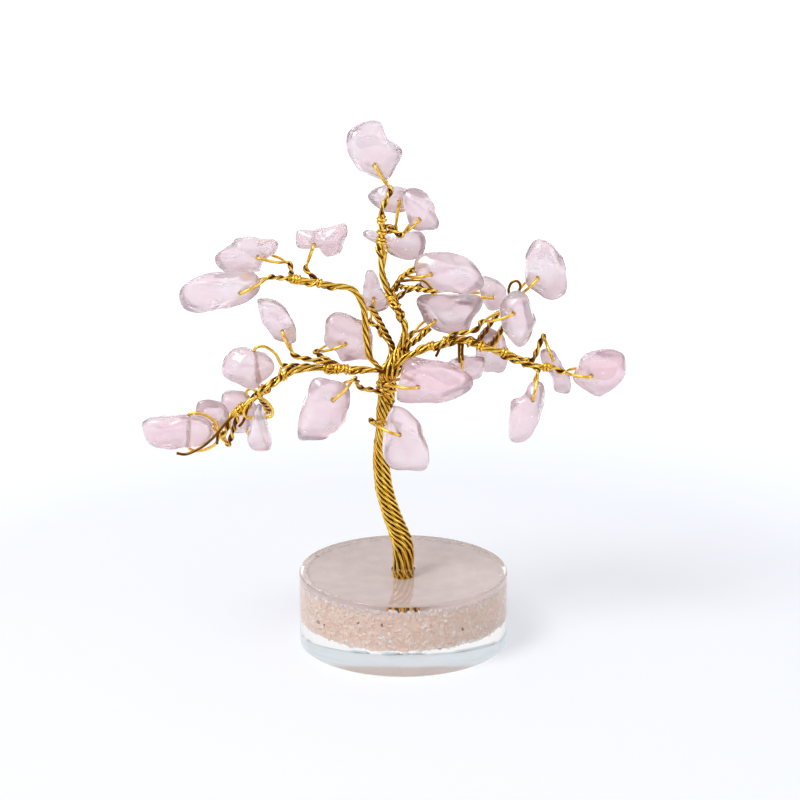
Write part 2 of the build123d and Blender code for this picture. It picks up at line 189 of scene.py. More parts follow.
class Board:
    """A node tree that nodes are added to through one method."""

    def __init__(self, tree: bpy.types.NodeTree) -> None:
        """Wraps a tree.

        Args:
            tree: a shader or geometry node tree.
        """
        self.tree = tree

    def node(
        self, kind: str, settings: dict | None = None, *values: object, **named: object
    ) -> bpy.types.Node:
        """Adds a node.

        Args:
            kind: the node's type.
            settings: what is set on the node itself, before its sockets.
            values: links or values of its first inputs, in order. None leaves one as it is.
            named: links or values of inputs by name, with _ for a space.

        Returns:
            The node.
        """
        made = self.tree.nodes.new(kind)
        for key, value in (settings or {}).items():
            setattr(made, key, value)
        shown = [socket for socket in made.inputs if socket.enabled]
        for socket, value in zip(shown, values):
            self._feed(socket, value)
        for key, value in named.items():
            wanted = key.replace("_", " ")
            self._feed(next(socket for socket in shown if socket.name == wanted), value)
        return made

    def _feed(self, socket: bpy.types.NodeSocket, value: object) -> None:
        """Links a socket, or sets its value."""
        if value is None:
            return
        if isinstance(value, (Value, Arrow)):
            value = value.socket
        if isinstance(value, bpy.types.NodeSocket):
            self.tree.links.new(value, socket)
        elif isinstance(value, tuple) and len(value) == 3 and socket.type == "RGBA":
            socket.default_value = (*value, 1.0)
        else:
            socket.default_value = value

    def number(
        self, kind: str, settings: dict | None, *values: object, out: str | int = 0, **named: object
    ) -> Value:
        """Adds a node and returns one of its outputs as a Value."""
        return Value(self, self._out(self.node(kind, settings, *values, **named), out))

    def vector(
        self, kind: str, settings: dict | None, *values: object, out: str | int = 0, **named: object
    ) -> Arrow:
        """Adds a node and returns one of its outputs as an Arrow."""
        return Arrow(self, self._out(self.node(kind, settings, *values, **named), out))

    def _out(self, made: bpy.types.Node, out: str | int) -> bpy.types.NodeSocket:
        """One output of a node, by name or by its place among those in use."""
        shown = [socket for socket in made.outputs if socket.enabled]
        return shown[out] if isinstance(out, int) else next(socket for socket in shown if socket.name == out)

    def mix(self, factor: object, low: object, high: object) -> bpy.types.NodeSocket:
        """Mixes two colours.

        Args:
            factor: 0 gives low and 1 gives high.
            low: a colour or a socket.
            high: a colour or a socket.

        Returns:
            The mixed colour's socket.
        """
        return self._out(self.node("ShaderNodeMix", {"data_type": "RGBA"}, factor, low, high), 0)

    def attribute(self, name: str) -> Value:
        """A number that the mesh carries under a name."""
        return self.number("ShaderNodeAttribute", {"attribute_name": name}, out="Fac")

    def stored(
        self,
        shape: bpy.types.NodeSocket,
        name: str,
        value: object,
        kind: str = "FLOAT",
        domain: str = "POINT",
    ) -> bpy.types.NodeSocket:
        """Stores a value on a geometry under a name.

        Args:
            shape: the geometry.
            name: the attribute's name.
            value: the field to store.
            kind: the attribute's type.
            domain: what carries it.

        Returns:
            The geometry's socket.
        """
        settings = {"data_type": kind, "domain": domain}
        return self.node("GeometryNodeStoreNamedAttribute", settings, shape, None, name, value).outputs[0]


# Finishes


class Finish:
    """A procedural finish. A subclass says how its shader is built."""

    name = "finish"
    colour: Colour = (0.8, 0.8, 0.8)

    def material(self) -> bpy.types.Material:
        """Makes the finish's material, once.

        Returns:
            The material.
        """
        found = bpy.data.materials.get(self.name)
        if found:
            return found
        made = bpy.data.materials.new(self.name)
        made.use_nodes = True
        made.diffuse_color = (*self.colour, 1.0)
        board = Board(made.node_tree)
        made.node_tree.nodes.clear()
        place = board.vector("ShaderNodeTexCoord", None, out="Object")
        surface = self.shade(board, place)
        board.node("ShaderNodeOutputMaterial", None, surface)
        return made

    def shade(self, board: Board, place: Arrow) -> bpy.types.NodeSocket:
        """Builds the shader.

        Args:
            board: the material's tree.
            place: object coordinates, in metres.

        Returns:
            The shader's socket.
        """
        raise NotImplementedError

    def speckle(self, board: Board, place: Arrow, size: float, detail: float = 2.0) -> Value:
        """Soft noise from 0 to 1, whose lumps are about a size in metres."""
        return board.number("ShaderNodeTexNoise", None, Vector=place, Scale=1.0 / size, Detail=detail)

    def lit_through(
        self, board: Board, shader: bpy.types.Node, tint: Colour, amount: float
    ) -> bpy.types.NodeSocket:
        """A shader that lets a lamp's light through, so that its shadow is light.

        Args:
            board: the material's tree.
            shader: the node that everything else sees.
            tint: the colour of the light that comes through.
            amount: how much of it does.

        Returns:
            The shader's socket.
        """
        clear = board.node("ShaderNodeBsdfTransparent", None, tint)
        shadow = board.number("ShaderNodeLightPath", None, out="Is Shadow Ray") * amount
        return board.node("ShaderNodeMixShader", None, shadow, shader.outputs[0], clear.outputs[0]).outputs[0]


@dataclass(frozen=True)
class GoldWire(Finish):
    """Gold-coloured craft wire, with painted shade where strands meet and painted highlights in patches."""

    name: str = "polished_gold_wire"
    colour: Colour = (0.86, 0.47, 0.045)
    # Painted highlight tint, for patches at random.
    painted_highlight: Colour = (1.0, 0.72, 0.15)
    # Painted shade tint, for the grooves between strands.
    groove_shade: Colour = (0.13, 0.042, 0.004)

    def shade(self, board: Board, place: Arrow) -> bpy.types.NodeSocket:
        """Polished metal with fine draw marks, painted highlights in random patches and painted shade in the
        grooves between strands.
        """
        groove_shade = board.attribute("groove_shade")
        patches = self.speckle(board, place, 1.1 * MM, 3.0)
        drawn = self.speckle(board, place, 0.14 * MM, 1.0)
        # Painted highlights: patches of lighter gold, placed at random.
        tone = board.mix(((patches - 0.38) * 3.2).clamped(), self.colour, self.painted_highlight)
        # Painted shade: darker where the wire faces in towards the other strands.
        tone = board.mix(groove_shade.clamped(), tone, self.groove_shade)
        bump = board.node("ShaderNodeBump", None, 0.2, 0.00004, Height=drawn)
        shader = board.node(
            "ShaderNodeBsdfPrincipled",
            None,
            Base_Color=tone,
            Metallic=1.0,
            Roughness=0.11 + 0.15 * patches,
            Normal=bump.outputs[0],
        )
        return shader.outputs[0]


@dataclass(frozen=True)
class RoseQuartz(Finish):
    """Tumbled rose quartz: milky, translucent and wet-looking, with faint veils inside."""

    name: str = "tumbled_rose_quartz"
    colour: Colour = (0.90, 0.74, 0.78)
    pale: Colour = (0.92, 0.85, 0.87)
    deep: Colour = (0.87, 0.54, 0.60)
    milk: Colour = (0.96, 0.92, 0.94)
    passing: Colour = (0.80, 0.68, 0.72)

    def shade(self, board: Board, place: Arrow) -> bpy.types.NodeSocket:
        """A frosted, half clear body under a glossy skin, whose pink varies within each chip."""
        pink = board.attribute("pink")
        clouds = self.speckle(board, place, 5.0 * MM, 2.0)
        warped = board.vector("ShaderNodeVectorMath", {"operation": "MULTIPLY"}, place, (1.0, 1.0, 2.6))
        veils = self.speckle(board, warped, 3.0 * MM, 2.0)
        veil = ((veils - 0.52) * 4.0).clamped()
        tone = board.mix(((clouds - 0.42) * 3.0).clamped(), self.colour, self.pale)
        tone = board.mix(((clouds * -1.2 + 0.75) * 0.5 + pink).clamped() * 0.7, tone, self.deep)
        tone = board.mix(veil * 0.55, tone, self.milk)
        pits = self.speckle(board, place, 2.4 * MM, 1.0)
        bump = board.node("ShaderNodeBump", None, 0.30, 0.0002, Height=pits)
        shader = board.node(
            "ShaderNodeBsdfPrincipled",
            None,
            Base_Color=tone,
            Roughness=0.15 + 0.22 * veil,
            IOR=1.54,
            Transmission_Weight=0.62,
            Subsurface_Weight=0.4,
            Subsurface_Radius=(0.004, 0.0025, 0.003),
            Subsurface_Scale=1.0,
            Coat_Weight=1.0,
            Coat_Roughness=0.03,
            Normal=bump.outputs[0],
        )
        return self.lit_through(board, shader, self.passing, 0.6)


@dataclass(frozen=True)
class ClearResin(Finish):
    """Clear cast resin, which lets light through to the bed."""

    name: str = "cast_clear_resin"
    colour: Colour = (0.965, 0.945, 0.94)
    passing: Colour = (0.93, 0.9, 0.9)

    def shade(self, board: Board, place: Arrow) -> bpy.types.NodeSocket:
        """Glass-like resin, whose shadow is light because lamps shine through it."""
        shader = board.node(
            "ShaderNodeBsdfPrincipled",
            None,
            Base_Color=self.colour,
            Roughness=0.012,
            IOR=1.56,
            Transmission_Weight=1.0,
        )
        return self.lit_through(board, shader, self.passing, 1.0)


@dataclass(frozen=True)
class CrushedQuartz(Finish):
    """Crushed rose quartz set in resin: soft pinkish beige chunks, with a painted glow beneath that stands in
    for light the clear layer carries.
    """

    name: str = "set_crushed_quartz"
    colour: Colour = (0.86, 0.68, 0.59)
    pale: Colour = (0.94, 0.85, 0.79)
    warm: Colour = (0.85, 0.62, 0.51)
    face: Colour = (0.64, 0.54, 0.53)
    vein: Colour = (0.73, 0.635, 0.625)
    # Painted glint tint.
    glint: Colour = (0.98, 0.96, 0.95)
    speck: Colour = (0.20, 0.11, 0.09)
    # Tints of the painted glow on the underside.
    dim_glow: Colour = (0.0, 0.02, 0.03)
    wall_glow: Colour = (0.10, 0.25, 0.33)
    face_height: float = 7.4 * MM
    face_radius: float = 18.4 * MM
    edge_height: float = 11.9 * MM
    lit_radius: float = 8.0 * MM
    lit_height: float = 5.6 * MM
    underside: float = 5.2 * MM

    def shade(self, board: Board, place: Arrow) -> bpy.types.NodeSocket:
        """Chunks of many tones, a few of them with painted glints and fewer dark, under a smoother greyish
        face, and a painted glow on the underside.
        """
        grain = board.attribute("grain")
        dust = self.speckle(board, place, 3.0 * MM, 3.0)
        fine = self.speckle(board, place, 0.6 * MM, 2.0)
        height = place.part("Z")
        tone = board.mix((dust * 2.6 - 0.9).clamped(), self.colour, self.warm)
        tone = board.mix(((grain - 0.45) * 1.3 + (fine - 0.5) * 0.7).clamped(), tone, self.pale)
        veined = board.mix(((dust - 0.5) * 3.0 + (fine - 0.5) * 0.8 + 0.4).clamped(), self.face, self.vein)
        across, along = (place.part(axis) for axis in "XY")
        within = (self.face_radius**2 - across * across - along * along) / (0.6 * MM * self.face_radius)
        on_face = within.clamped() * ((height - self.face_height) / (0.3 * MM)).clamped()
        edge = ((height - self.edge_height) / (0.7 * MM)).clamped()
        tone = board.mix((on_face + edge).clamped() * 0.92, tone, veined)
        # Painted glints: a few grains, at random, are painted near white and made glossier.
        sparkle = ((grain - 0.955) * 300.0).clamped() - ((grain - 0.990) * 600.0).clamped()
        tone = board.mix(sparkle.clamped(), tone, self.glint)
        tone = board.mix(((grain - 0.995) * 600.0).clamped(), tone, self.speck)
        bump = board.node("ShaderNodeBump", None, 0.12, 0.00012, Height=fine)
        shader = board.node(
            "ShaderNodeBsdfPrincipled",
            None,
            Base_Color=tone,
            Roughness=0.42 - 0.3 * sparkle,
            Subsurface_Weight=0.2,
            Subsurface_Radius=(0.001, 0.0006, 0.0005),
            Subsurface_Scale=1.0,
            # Painted glow: emission on the underside, standing in for light through the clear layer.
            Emission_Color=self._painted_underside_glow(board, place),
            Emission_Strength=1.0,
            Normal=bump.outputs[0],
        )
        return shader.outputs[0]

    def _painted_underside_glow(self, board: Board, place: Arrow) -> bpy.types.NodeSocket:
        """A painted glow on the bed's underside, emitted in place of the light that the clear layer carries
        there, more of it near the wall.
        """
        normal = board.vector("ShaderNodeNewGeometry", None, out="Normal")
        height = place.part("Z")
        downward = ((normal.dot((0.0, 0.0, -1.0)) - 0.25) * 3.0).clamped()
        below = downward * ((self.lit_height - height) / (0.3 * MM)).clamped()
        away = (place - UP * self.underside).length()
        near_wall = ((away - self.lit_radius) / (1.8 * MM)).clamped()
        glow = board.mix(near_wall, self.dim_glow, self.wall_glow)
        return board.mix(below, (0.0, 0.0, 0.0), glow)


@dataclass(frozen=True)
class PaleFloor(Finish):
    """The pale floor, which keeps the shadow near the object and is plain white away from it."""

    name: str = "pale_floor"
    colour: Colour = (0.85, 0.86, 0.89)
    lift: float = 0.24
    far_lift: float = 0.45
    near: float = 0.10
    far: float = 0.35

    def shade(self, board: Board, place: Arrow) -> bpy.types.NodeSocket:
        """A matt floor with a lift that only sight lines see, stronger with distance."""
        matt = board.node("ShaderNodeBsdfDiffuse", None, self.colour)
        rays = board.node("ShaderNodeLightPath")
        bent = Value(board, rays.outputs["Is Transmission Ray"])
        seen = Value(board, rays.outputs["Is Camera Ray"]) + Value(board, rays.outputs["Is Glossy Ray"])
        far = ((place.length() - self.near) / (self.far - self.near)).clamped()
        amount = (seen + bent).clamped() * (self.lift + far * self.far_lift)
        amount = amount + bent * (1.0 - far) * self.far_lift
        glow = board.node("ShaderNodeEmission", None, (1.0, 1.0, 1.0), amount)
        return board.node("ShaderNodeAddShader", None, matt.outputs[0], glow.outputs[0]).outputs[0]


@dataclass(frozen=True)
class DarkCard(Finish):
    """Matt dark card, which the polished wire mirrors as the studio's dark side."""

    name: str = "dark_card"
    colour: Colour = (0.07, 0.06, 0.05)

    def shade(self, board: Board, place: Arrow) -> bpy.types.NodeSocket:
        """A matt dark face."""
        return board.node("ShaderNodeBsdfDiffuse", None, self.colour).outputs[0]


# Lines through space


@dataclass
class Line:
    """A smooth line through places, with a direction across it at each."""

    points: list[Vector]
    sides: list[Vector] = field(default_factory=list)

    @classmethod
    def through(cls, places: list[Vector], step: float) -> "Line":
        """A smooth line through places.

        Args:
            places: where it passes.
            step: about how far apart its points are.

        Returns:
            The line, with no directions across it yet.
        """
        ends = [2 * places[0] - places[1], *places, 2 * places[-1] - places[-2]]
        found = [places[0].copy()]
        for before, start, end, after in zip(ends, ends[1:], ends[2:], ends[3:]):
            knots = [0.0]
            for here, there in ((before, start), (start, end), (end, after)):
                knots.append(knots[-1] + max((there - here).length, 1e-7) ** 0.5)
            count = max(2, math.ceil((end - start).length / step))
            for index in range(1, count + 1):
                at = knots[1] + (knots[2] - knots[1]) * index / count
                found.append(_spline_at(knots, (before, start, end, after), at))
        return cls(found)

    def length(self) -> float:
        """How long the line is."""
        return sum((b - a).length for a, b in zip(self.points, self.points[1:]))

    def tangents(self) -> list[Vector]:
        """The line's direction at each point."""
        last = len(self.points) - 1
        return [
            (self.points[min(i + 1, last)] - self.points[max(i - 1, 0)]).normalized() for i in range(last + 1)
        ]

    def carry_side(self, side: Vector, from_end: bool = False) -> None:
        """Carries a direction across the line along it without turning about it.

        Args:
            side: the direction at the first point, or at the last.
            from_end: whether side is the one at the last point.
        """
        tangents = self.tangents()
        order = range(len(self.points))
        order = reversed(order) if from_end else order
        found: dict[int, Vector] = {}
        for index in order:
            tangent = tangents[index]
            side = squared(side, tangent)
            found[index] = side
        self.sides = [found[index] for index in range(len(self.points))]

    def at(self, distance: float) -> tuple[Vector, Vector, Vector]:
        """The place, the direction and the side at a distance along the line."""
        tangents = self.tangents()
        gone = 0.0
        for index, (start, end) in enumerate(zip(self.points, self.points[1:])):
            run = (end - start).length
            if gone + run >= distance:
                part = (distance - gone) / run if run else 0.0
                side = self.sides[index] if self.sides else UP
                return start.lerp(end, part), tangents[index], side
            gone += run
        return self.points[-1], tangents[-1], self.sides[-1] if self.sides else UP


def squared(side: Vector, way: Vector) -> Vector:
    """A direction, turned square to a way."""
    return (side - way * side.dot(way)).normalized()


def turned(side: Vector, other: Vector, angle: float) -> Vector:
    """The direction at an angle from side towards other."""
    return side * math.cos(angle) + other * math.sin(angle)


def eased(share: float) -> float:
    """A share from 0 to 1, which starts and ends gently."""
    return share * share * (3 - 2 * share)


def _spline_at(knots: list[float], places: tuple[Vector, ...], at: float) -> Vector:
    """A point of a centripetal spline between the middle two of four places.

    Args:
        knots: the spline's four knots.
        places: the four places.
        at: the knot value of the point.

    Returns:
        The point.
    """
    level = list(places)
    for spans in (((0, 1), (1, 2), (2, 3)), ((0, 2), (1, 3)), ((1, 2),)):
        level = [
            level[index].lerp(level[index + 1], (at - knots[low]) / (knots[high] - knots[low]))
            for index, (low, high) in enumerate(spans)
        ]
    return level[0]


# Mesh helpers


def placed(name: str, data: bpy.types.ID) -> bpy.types.Object:
    """Makes an object of a mesh, lamp or camera and puts it in the scene."""
    made = bpy.data.objects.new(name, data)
    bpy.context.scene.collection.objects.link(made)
    return made


def mesh_of(build: bmesh.types.BMesh, name: str) -> bpy.types.Mesh:
    """Makes a mesh of what was built, which is used up."""
    mesh = bpy.data.meshes.new(name)
    build.to_mesh(mesh)
    build.free()
    return mesh


def new_piece(name: str, mesh: bpy.types.Mesh, finish: Finish, smooth: bool = True) -> bpy.types.Object:
    """Makes an object of a mesh, at the origin.

    Args:
        name: the piece's name.
        mesh: its mesh, in the row frame.
        finish: its finish.
        smooth: whether its faces are shaded smooth.

    Returns:
        The object.
    """
    piece = placed(name, mesh)
    if not mesh.materials:
        mesh.materials.append(finish.material())
    mesh.shade_smooth() if smooth else mesh.shade_flat()
    return piece


def bake_modifiers(piece: bpy.types.Object) -> None:
    """Turns what a piece's modifiers give into its plain mesh, and takes the modifiers off."""
    graph = bpy.context.evaluated_depsgraph_get()
    graph.update()
    shown = piece.evaluated_get(graph)
    baked = bpy.data.meshes.new_from_object(shown, preserve_all_data_layers=True, depsgraph=graph)
    piece.modifiers.clear()
    old = piece.data
    piece.data = baked
    bpy.data.meshes.remove(old)


# Geometry node trees


class Growth:
    """A geometry node tree with named inputs, which grows a piece from a base. A subclass says how."""

    NAME = "growth"
    INPUTS: tuple[tuple[str, str, float], ...] = ()

    def __init__(self, finish: Finish) -> None:
        """Builds the tree.

        Args:
            finish: what it makes things of.
        """
        self.tree = bpy.data.node_groups.new(self.NAME, "GeometryNodeTree")
        face = self.tree.interface
        face.new_socket("Base", in_out="INPUT", socket_type="NodeSocketGeometry")
        for name, kind, value in self.INPUTS:
            face.new_socket(name, in_out="INPUT", socket_type=kind).default_value = value
        face.new_socket("Made", in_out="OUTPUT", socket_type="NodeSocketGeometry")
        board = Board(self.tree)
        given = board.node("NodeGroupInput")
        taken = {name: Value(board, given.outputs[name]) for name, _, _ in self.INPUTS}
        grown = self.grow(board, given.outputs["Base"], taken)
        real = board.node("GeometryNodeRealizeInstances", None, grown)
        dressed = board.node("GeometryNodeSetMaterial", None, real.outputs[0], None, finish.material())
        board.node("NodeGroupOutput", None, dressed.outputs[0])

    def grow(
        self, board: Board, base: bpy.types.NodeSocket, taken: dict[str, Value]
    ) -> bpy.types.NodeSocket:
        """Adds the nodes between the base and what is made.

        Args:
            board: the tree.
            base: the base's geometry.
            taken: the tree's inputs by name.

        Returns:
            The geometry's socket.
        """
        raise NotImplementedError

    def apply(self, piece: bpy.types.Object, **sizes: float) -> None:
        """Grows a piece, which becomes a plain mesh.

        Args:
            piece: the piece, whose mesh is the base.
            sizes: the tree's inputs by name, with _ for a space.
        """
        modifier = piece.modifiers.new(self.NAME, "NODES")
        modifier.node_group = self.tree
        for item in self.tree.interface.items_tree:
            if item.item_type == "SOCKET" and item.in_out == "INPUT":
                value = sizes.get(item.name.replace(" ", "_"))
                if value is not None:
                    modifier[item.identifier] = value
        bake_modifiers(piece)


class LaidWires(Growth):
    """Round wires laid along chains of points.

    The chains' points carry their side, a direction across the chain, which the lay is measured from.
    """

    NAME = "laid_wires"
    INPUTS = (
        ("Strands", "NodeSocketInt", 2),
        ("Lay Radius", "NodeSocketFloat", 0.0003),
        ("Pitch", "NodeSocketFloat", 0.0055),
        ("Wire Radius", "NodeSocketFloat", 0.00028),
        ("Step", "NodeSocketFloat", 0.0002),
        ("Wobble", "NodeSocketFloat", 0.00005),
        # How strongly the painted shade darkens the grooves between strands.
        ("Groove", "NodeSocketFloat", 1.0),
        ("Seed", "NodeSocketFloat", 0.0),
    )

    def grow(
        self, board: Board, base: bpy.types.NodeSocket, taken: dict[str, Value]
    ) -> bpy.types.NodeSocket:
        """Winds strands about each chain, sweeps a ring along them and stores a painted-shade mask for the
        grooves between them.
        """
        curve = board.node("GeometryNodeMeshToCurve", None, base)
        even = board.node(
            "GeometryNodeResampleCurve", {"mode": "LENGTH"}, curve.outputs[0], Length=taken["Step"]
        )
        many = board.node(
            "GeometryNodeDuplicateElements", {"domain": "SPLINE"}, even.outputs[0], Amount=taken["Strands"]
        )
        strand = Value(board, many.outputs["Duplicate Index"])
        along = board.number("GeometryNodeSplineParameter", None, out="Length")
        whole = board.number("GeometryNodeSplineLength", None, out="Length")
        tangent = board.vector("GeometryNodeInputTangent", None)
        side = board.vector(
            "GeometryNodeInputNamedAttribute", {"data_type": "FLOAT_VECTOR"}, "side", out="Attribute"
        )
        side = (side - tangent * tangent.dot(side)).unit()
        other = tangent.cross(side)
        turn = (whole - along) / taken["Pitch"] * math.tau + strand * math.tau / taken["Strands"].most(1.0)
        cosine = board.number("ShaderNodeMath", {"operation": "COSINE"}, turn)
        sine = board.number("ShaderNodeMath", {"operation": "SINE"}, turn)
        outward = side * cosine + other * sine
        place = board.vector("GeometryNodeInputPosition", None)
        apart = board.node("ShaderNodeCombineXYZ", None, strand * 0.013, taken["Seed"] * 0.017, 0.0)
        shifted = place + Arrow(board, apart.outputs[0])
        waver = board.vector("ShaderNodeTexNoise", None, Vector=shifted, Scale=520.0, Detail=1.0, out="Color")
        ends = (along.least(whole - along) / 0.0012).clamped()
        offset = outward * taken["Lay Radius"] + (waver - (0.5, 0.5, 0.5)) * (taken["Wobble"] * ends * 2.0)
        set_off = board.node("GeometryNodeSetPosition", None, many.outputs[0], Offset=offset)
        kept = board.stored(set_off.outputs[0], "outward", outward, "FLOAT_VECTOR")
        circle = {"mode": "RADIUS"}
        ring = board.node("GeometryNodeCurvePrimitiveCircle", circle, RING_SIDES, Radius=taken["Wire Radius"])
        swept = board.node("GeometryNodeCurveToMesh", None, kept, ring.outputs[0], Fill_Caps=True)
        normal = board.vector("GeometryNodeInputNormal", None)
        away = board.vector(
            "GeometryNodeInputNamedAttribute", {"data_type": "FLOAT_VECTOR"}, "outward", out="Attribute"
        )
        # Painted shade: a mask that darkens each wire on the sides facing away from the lay's outside,
        # towards the other strands.
        groove_shade = ((0.62 - normal.dot(away.unit())) * 1.9 * taken["Groove"]).clamped()
        return board.stored(swept.outputs[0], "groove_shade", groove_shade)

    def lay(self, name: str, chains: list[Line], **sizes: float) -> bpy.types.Object:
        """Lays wires along chains.

        Args:
            name: the piece's name.
            chains: the lines to follow, with their sides.
            sizes: the tree's inputs by name, with _ for a space.

        Returns:
            The finished piece.
        """
        mesh = bpy.data.meshes.new(name)
        points: list[Vector] = []
        sides: list[Vector] = []
        edges: list[tuple[int, int]] = []
        for chain in chains:
            edges += [(len(points) + i, len(points) + i + 1) for i in range(len(chain.points) - 1)]
            points += chain.points
            sides += chain.sides
        mesh.from_pydata([tuple(point) for point in points], edges, [])
        stored = mesh.attributes.new("side", "FLOAT_VECTOR", "POINT")
        stored.data.foreach_set("vector", [number for side in sides for number in side])
        piece = placed(name, mesh)
        self.apply(piece, **sizes)
        for spare in ("side", "outward"):
            if piece.data.attributes.get(spare):
                piece.data.attributes.remove(piece.data.attributes[spare])
        piece.data.shade_smooth()
        return piece

    def single(self, name: str, chains: list[Line], **sizes: float) -> bpy.types.Object:
        """Lays one wire along each chain, with no lay."""
        return self.lay(name, chains, Strands=1, Lay_Radius=0.0, Pitch=1000.0, **sizes)


class CrushedStone(Growth):
    """A bed whose side is studded with broken grains, each with its own tone."""

    NAME = "crushed_stone"
    INPUTS = (
        ("Density", "NodeSocketFloat", 3.4e6),
        ("Grain", "NodeSocketFloat", 0.00068),
        ("Sink", "NodeSocketFloat", 0.00028),
        ("Roughness", "NodeSocketFloat", 0.00018),
        ("Seed", "NodeSocketInt", 5),
    )
    LEAST: Shares = (0.4, 0.3, 0.35)
    MOST: Shares = (1.3, 1.1, 1.2)

    def grow(
        self, board: Board, base: bpy.types.NodeSocket, taken: dict[str, Value]
    ) -> bpy.types.NodeSocket:
        """Strews grains over the steep faces, turns, sizes and breaks them, and joins them to the bed."""
        facing = board.vector("GeometryNodeInputNormal", None)
        steep = board.number("ShaderNodeMath", {"operation": "ABSOLUTE"}, facing.dot((0.0, 0.0, 1.0)))
        aside = board.number("ShaderNodeMath", {"operation": "LESS_THAN"}, steep, 0.5)
        spread = board.node(
            "GeometryNodeDistributePointsOnFaces",
            None,
            base,
            Selection=aside,
            Density=taken["Density"],
            Seed=taken["Seed"],
        )
        outward = Arrow(board, spread.outputs["Normal"])
        sunk = board.node(
            "GeometryNodeSetPosition", None, spread.outputs["Points"], Offset=outward * taken["Sink"] * -1.0
        )
        grain = board.node("GeometryNodeMeshIcoSphere", None, taken["Grain"], 1)
        vectors = {"data_type": "FLOAT_VECTOR"}
        turn = board.vector("FunctionNodeRandomValue", vectors, (0.0, 0.0, 0.0), (6.28, 6.28, 6.28), Seed=1)
        size = board.vector("FunctionNodeRandomValue", vectors, self.LEAST, self.MOST, Seed=2)
        set_out = board.node(
            "GeometryNodeInstanceOnPoints",
            None,
            sunk.outputs[0],
            Instance=grain.outputs[0],
            Rotation=turn,
            Scale=size,
        )
        tone = board.number("FunctionNodeRandomValue", {"data_type": "FLOAT"}, 0.0, 1.0, Seed=3)
        toned = board.stored(set_out.outputs[0], "grain", tone, domain="INSTANCE")
        loose = board.node("GeometryNodeRealizeInstances", None, toned)
        place = board.vector("GeometryNodeInputPosition", None)
        jag = board.vector("ShaderNodeTexNoise", None, Vector=place, Scale=1900.0, Detail=0.0, out="Color")
        jolt = (jag - (0.5, 0.5, 0.5)) * taken["Roughness"] * 2.0
        broken = board.node("GeometryNodeSetPosition", None, loose.outputs[0], Offset=jolt)
        both = board.node("GeometryNodeJoinGeometry")
        for part in (base, broken.outputs[0]):
            board.tree.links.new(part, both.inputs[0])
        return both.outputs[0]


# The tree's plan


class Limb(Enum):
    """The limbs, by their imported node, in their order round the trunk."""

    BACK = "back_limb"
    UPPER_LEFT = "upper_left_limb"
    LOWER_LEFT = "lower_left_limb"
    RIGHT = "right_limb"
    CROWN = "crown_limb"

    @property
    def slot(self) -> int:
        """The limb's place in the trunk's ring."""
        return list(Limb).index(self)


# How far across and how far up the trunk passes, in shares of its height.
TRUNK_LINE: tuple[tuple[float, float], ...] = (
    (0.000, 0.00), (-0.003, 0.13), (-0.055, 0.28), (-0.092, 0.41), (-0.108, 0.54), (-0.110, 0.66),
    (-0.098, 0.79), (-0.082, 0.90), (-0.078, 1.00),
)

# Shares of the trunk's height, and the radius of its ring of wires there in millimetres.
TRUNK_GIRTH: tuple[tuple[float, float], ...] = (
    (0.00, 1.76), (0.12, 1.74), (0.28, 1.55), (0.45, 1.42), (0.57, 1.30), (0.65, 1.06), (0.70, 0.90),
    (0.76, 0.98), (0.84, 1.28), (0.92, 1.42), (1.00, 1.45),
)

LIMB_LINES: dict[Limb, tuple[Shares, ...]] = {
    Limb.BACK: ((-0.18, 0.30, 0.36), (-0.28, 0.52, 0.48), (-0.36, 0.70, 0.56)),
    Limb.UPPER_LEFT: (
        (-0.52, -0.02, 0.30),
        (-0.58, -0.08, 0.72),
        (-0.63, -0.05, 1.12),
        (-0.78, 0.00, 1.36),
        (-1.13, 0.00, 1.43),
        (-1.59, -0.08, 1.53),
        (-1.78, -0.12, 1.56),
    ),
    Limb.LOWER_LEFT: (
        (-0.62, -0.20, 0.14),
        (-0.95, -0.20, 0.14),
        (-1.37, -0.25, 0.18),
        (-1.70, -0.28, 0.13),
        (-2.02, -0.36, -0.02),
        (-2.26, -0.42, -0.22),
        (-2.46, -0.47, -0.38),
        (-2.64, -0.49, -0.52),
    ),
    Limb.CROWN: (
        (-0.05, 0.02, 0.44),
        (0.03, 0.00, 0.75),
        (-0.06, 0.00, 1.00),
        (-0.21, 0.00, 1.28),
        (-0.31, 0.00, 1.52),
        (-0.34, 0.00, 1.80),
        (-0.33, -0.05, 2.20),
        (-0.33, -0.06, 2.55),
    ),
    Limb.RIGHT: (
        (-0.08, -0.12, 0.22),
        (0.12, -0.14, 0.36),
        (0.40, -0.17, 0.48),
        (0.80, -0.20, 0.62),
        (1.26, -0.25, 0.50),
        (1.62, -0.25, 0.40),
        (1.98, -0.25, 0.22),
        (2.30, -0.25, 0.19),
    ),
}


@dataclass
class Chip:
    """One drilled chip: where it hangs and its size, in shares of the chip length, and how its wire meets it.

    heading turns its length in the front view, anticlockwise from +X, leg does so for the wire's legs,
    and roll turns the chip about its length. bore is in shares of its own size. The outline is what shows
    from the front, in shares of the chip's own width and height. pink is how much colour it has, and grow
    stretches it along X, Y and Z where the photograph shows it larger.
    """

    place: Shares
    size: Shares
    bore: tuple[float, float]
    heading: float
    leg: float
    outline: Outline
    roll: float = 0.0
    pink: float = 0.0
    grow: Shares = (1.0, 1.0, 1.0)


@dataclass
class Twig:
    """One chip's wire: what it leaves, how far along, and the places it passes. No limb is the trunk."""

    limb: Limb | None
    along: float
    via: tuple[Shares, ...] = ()


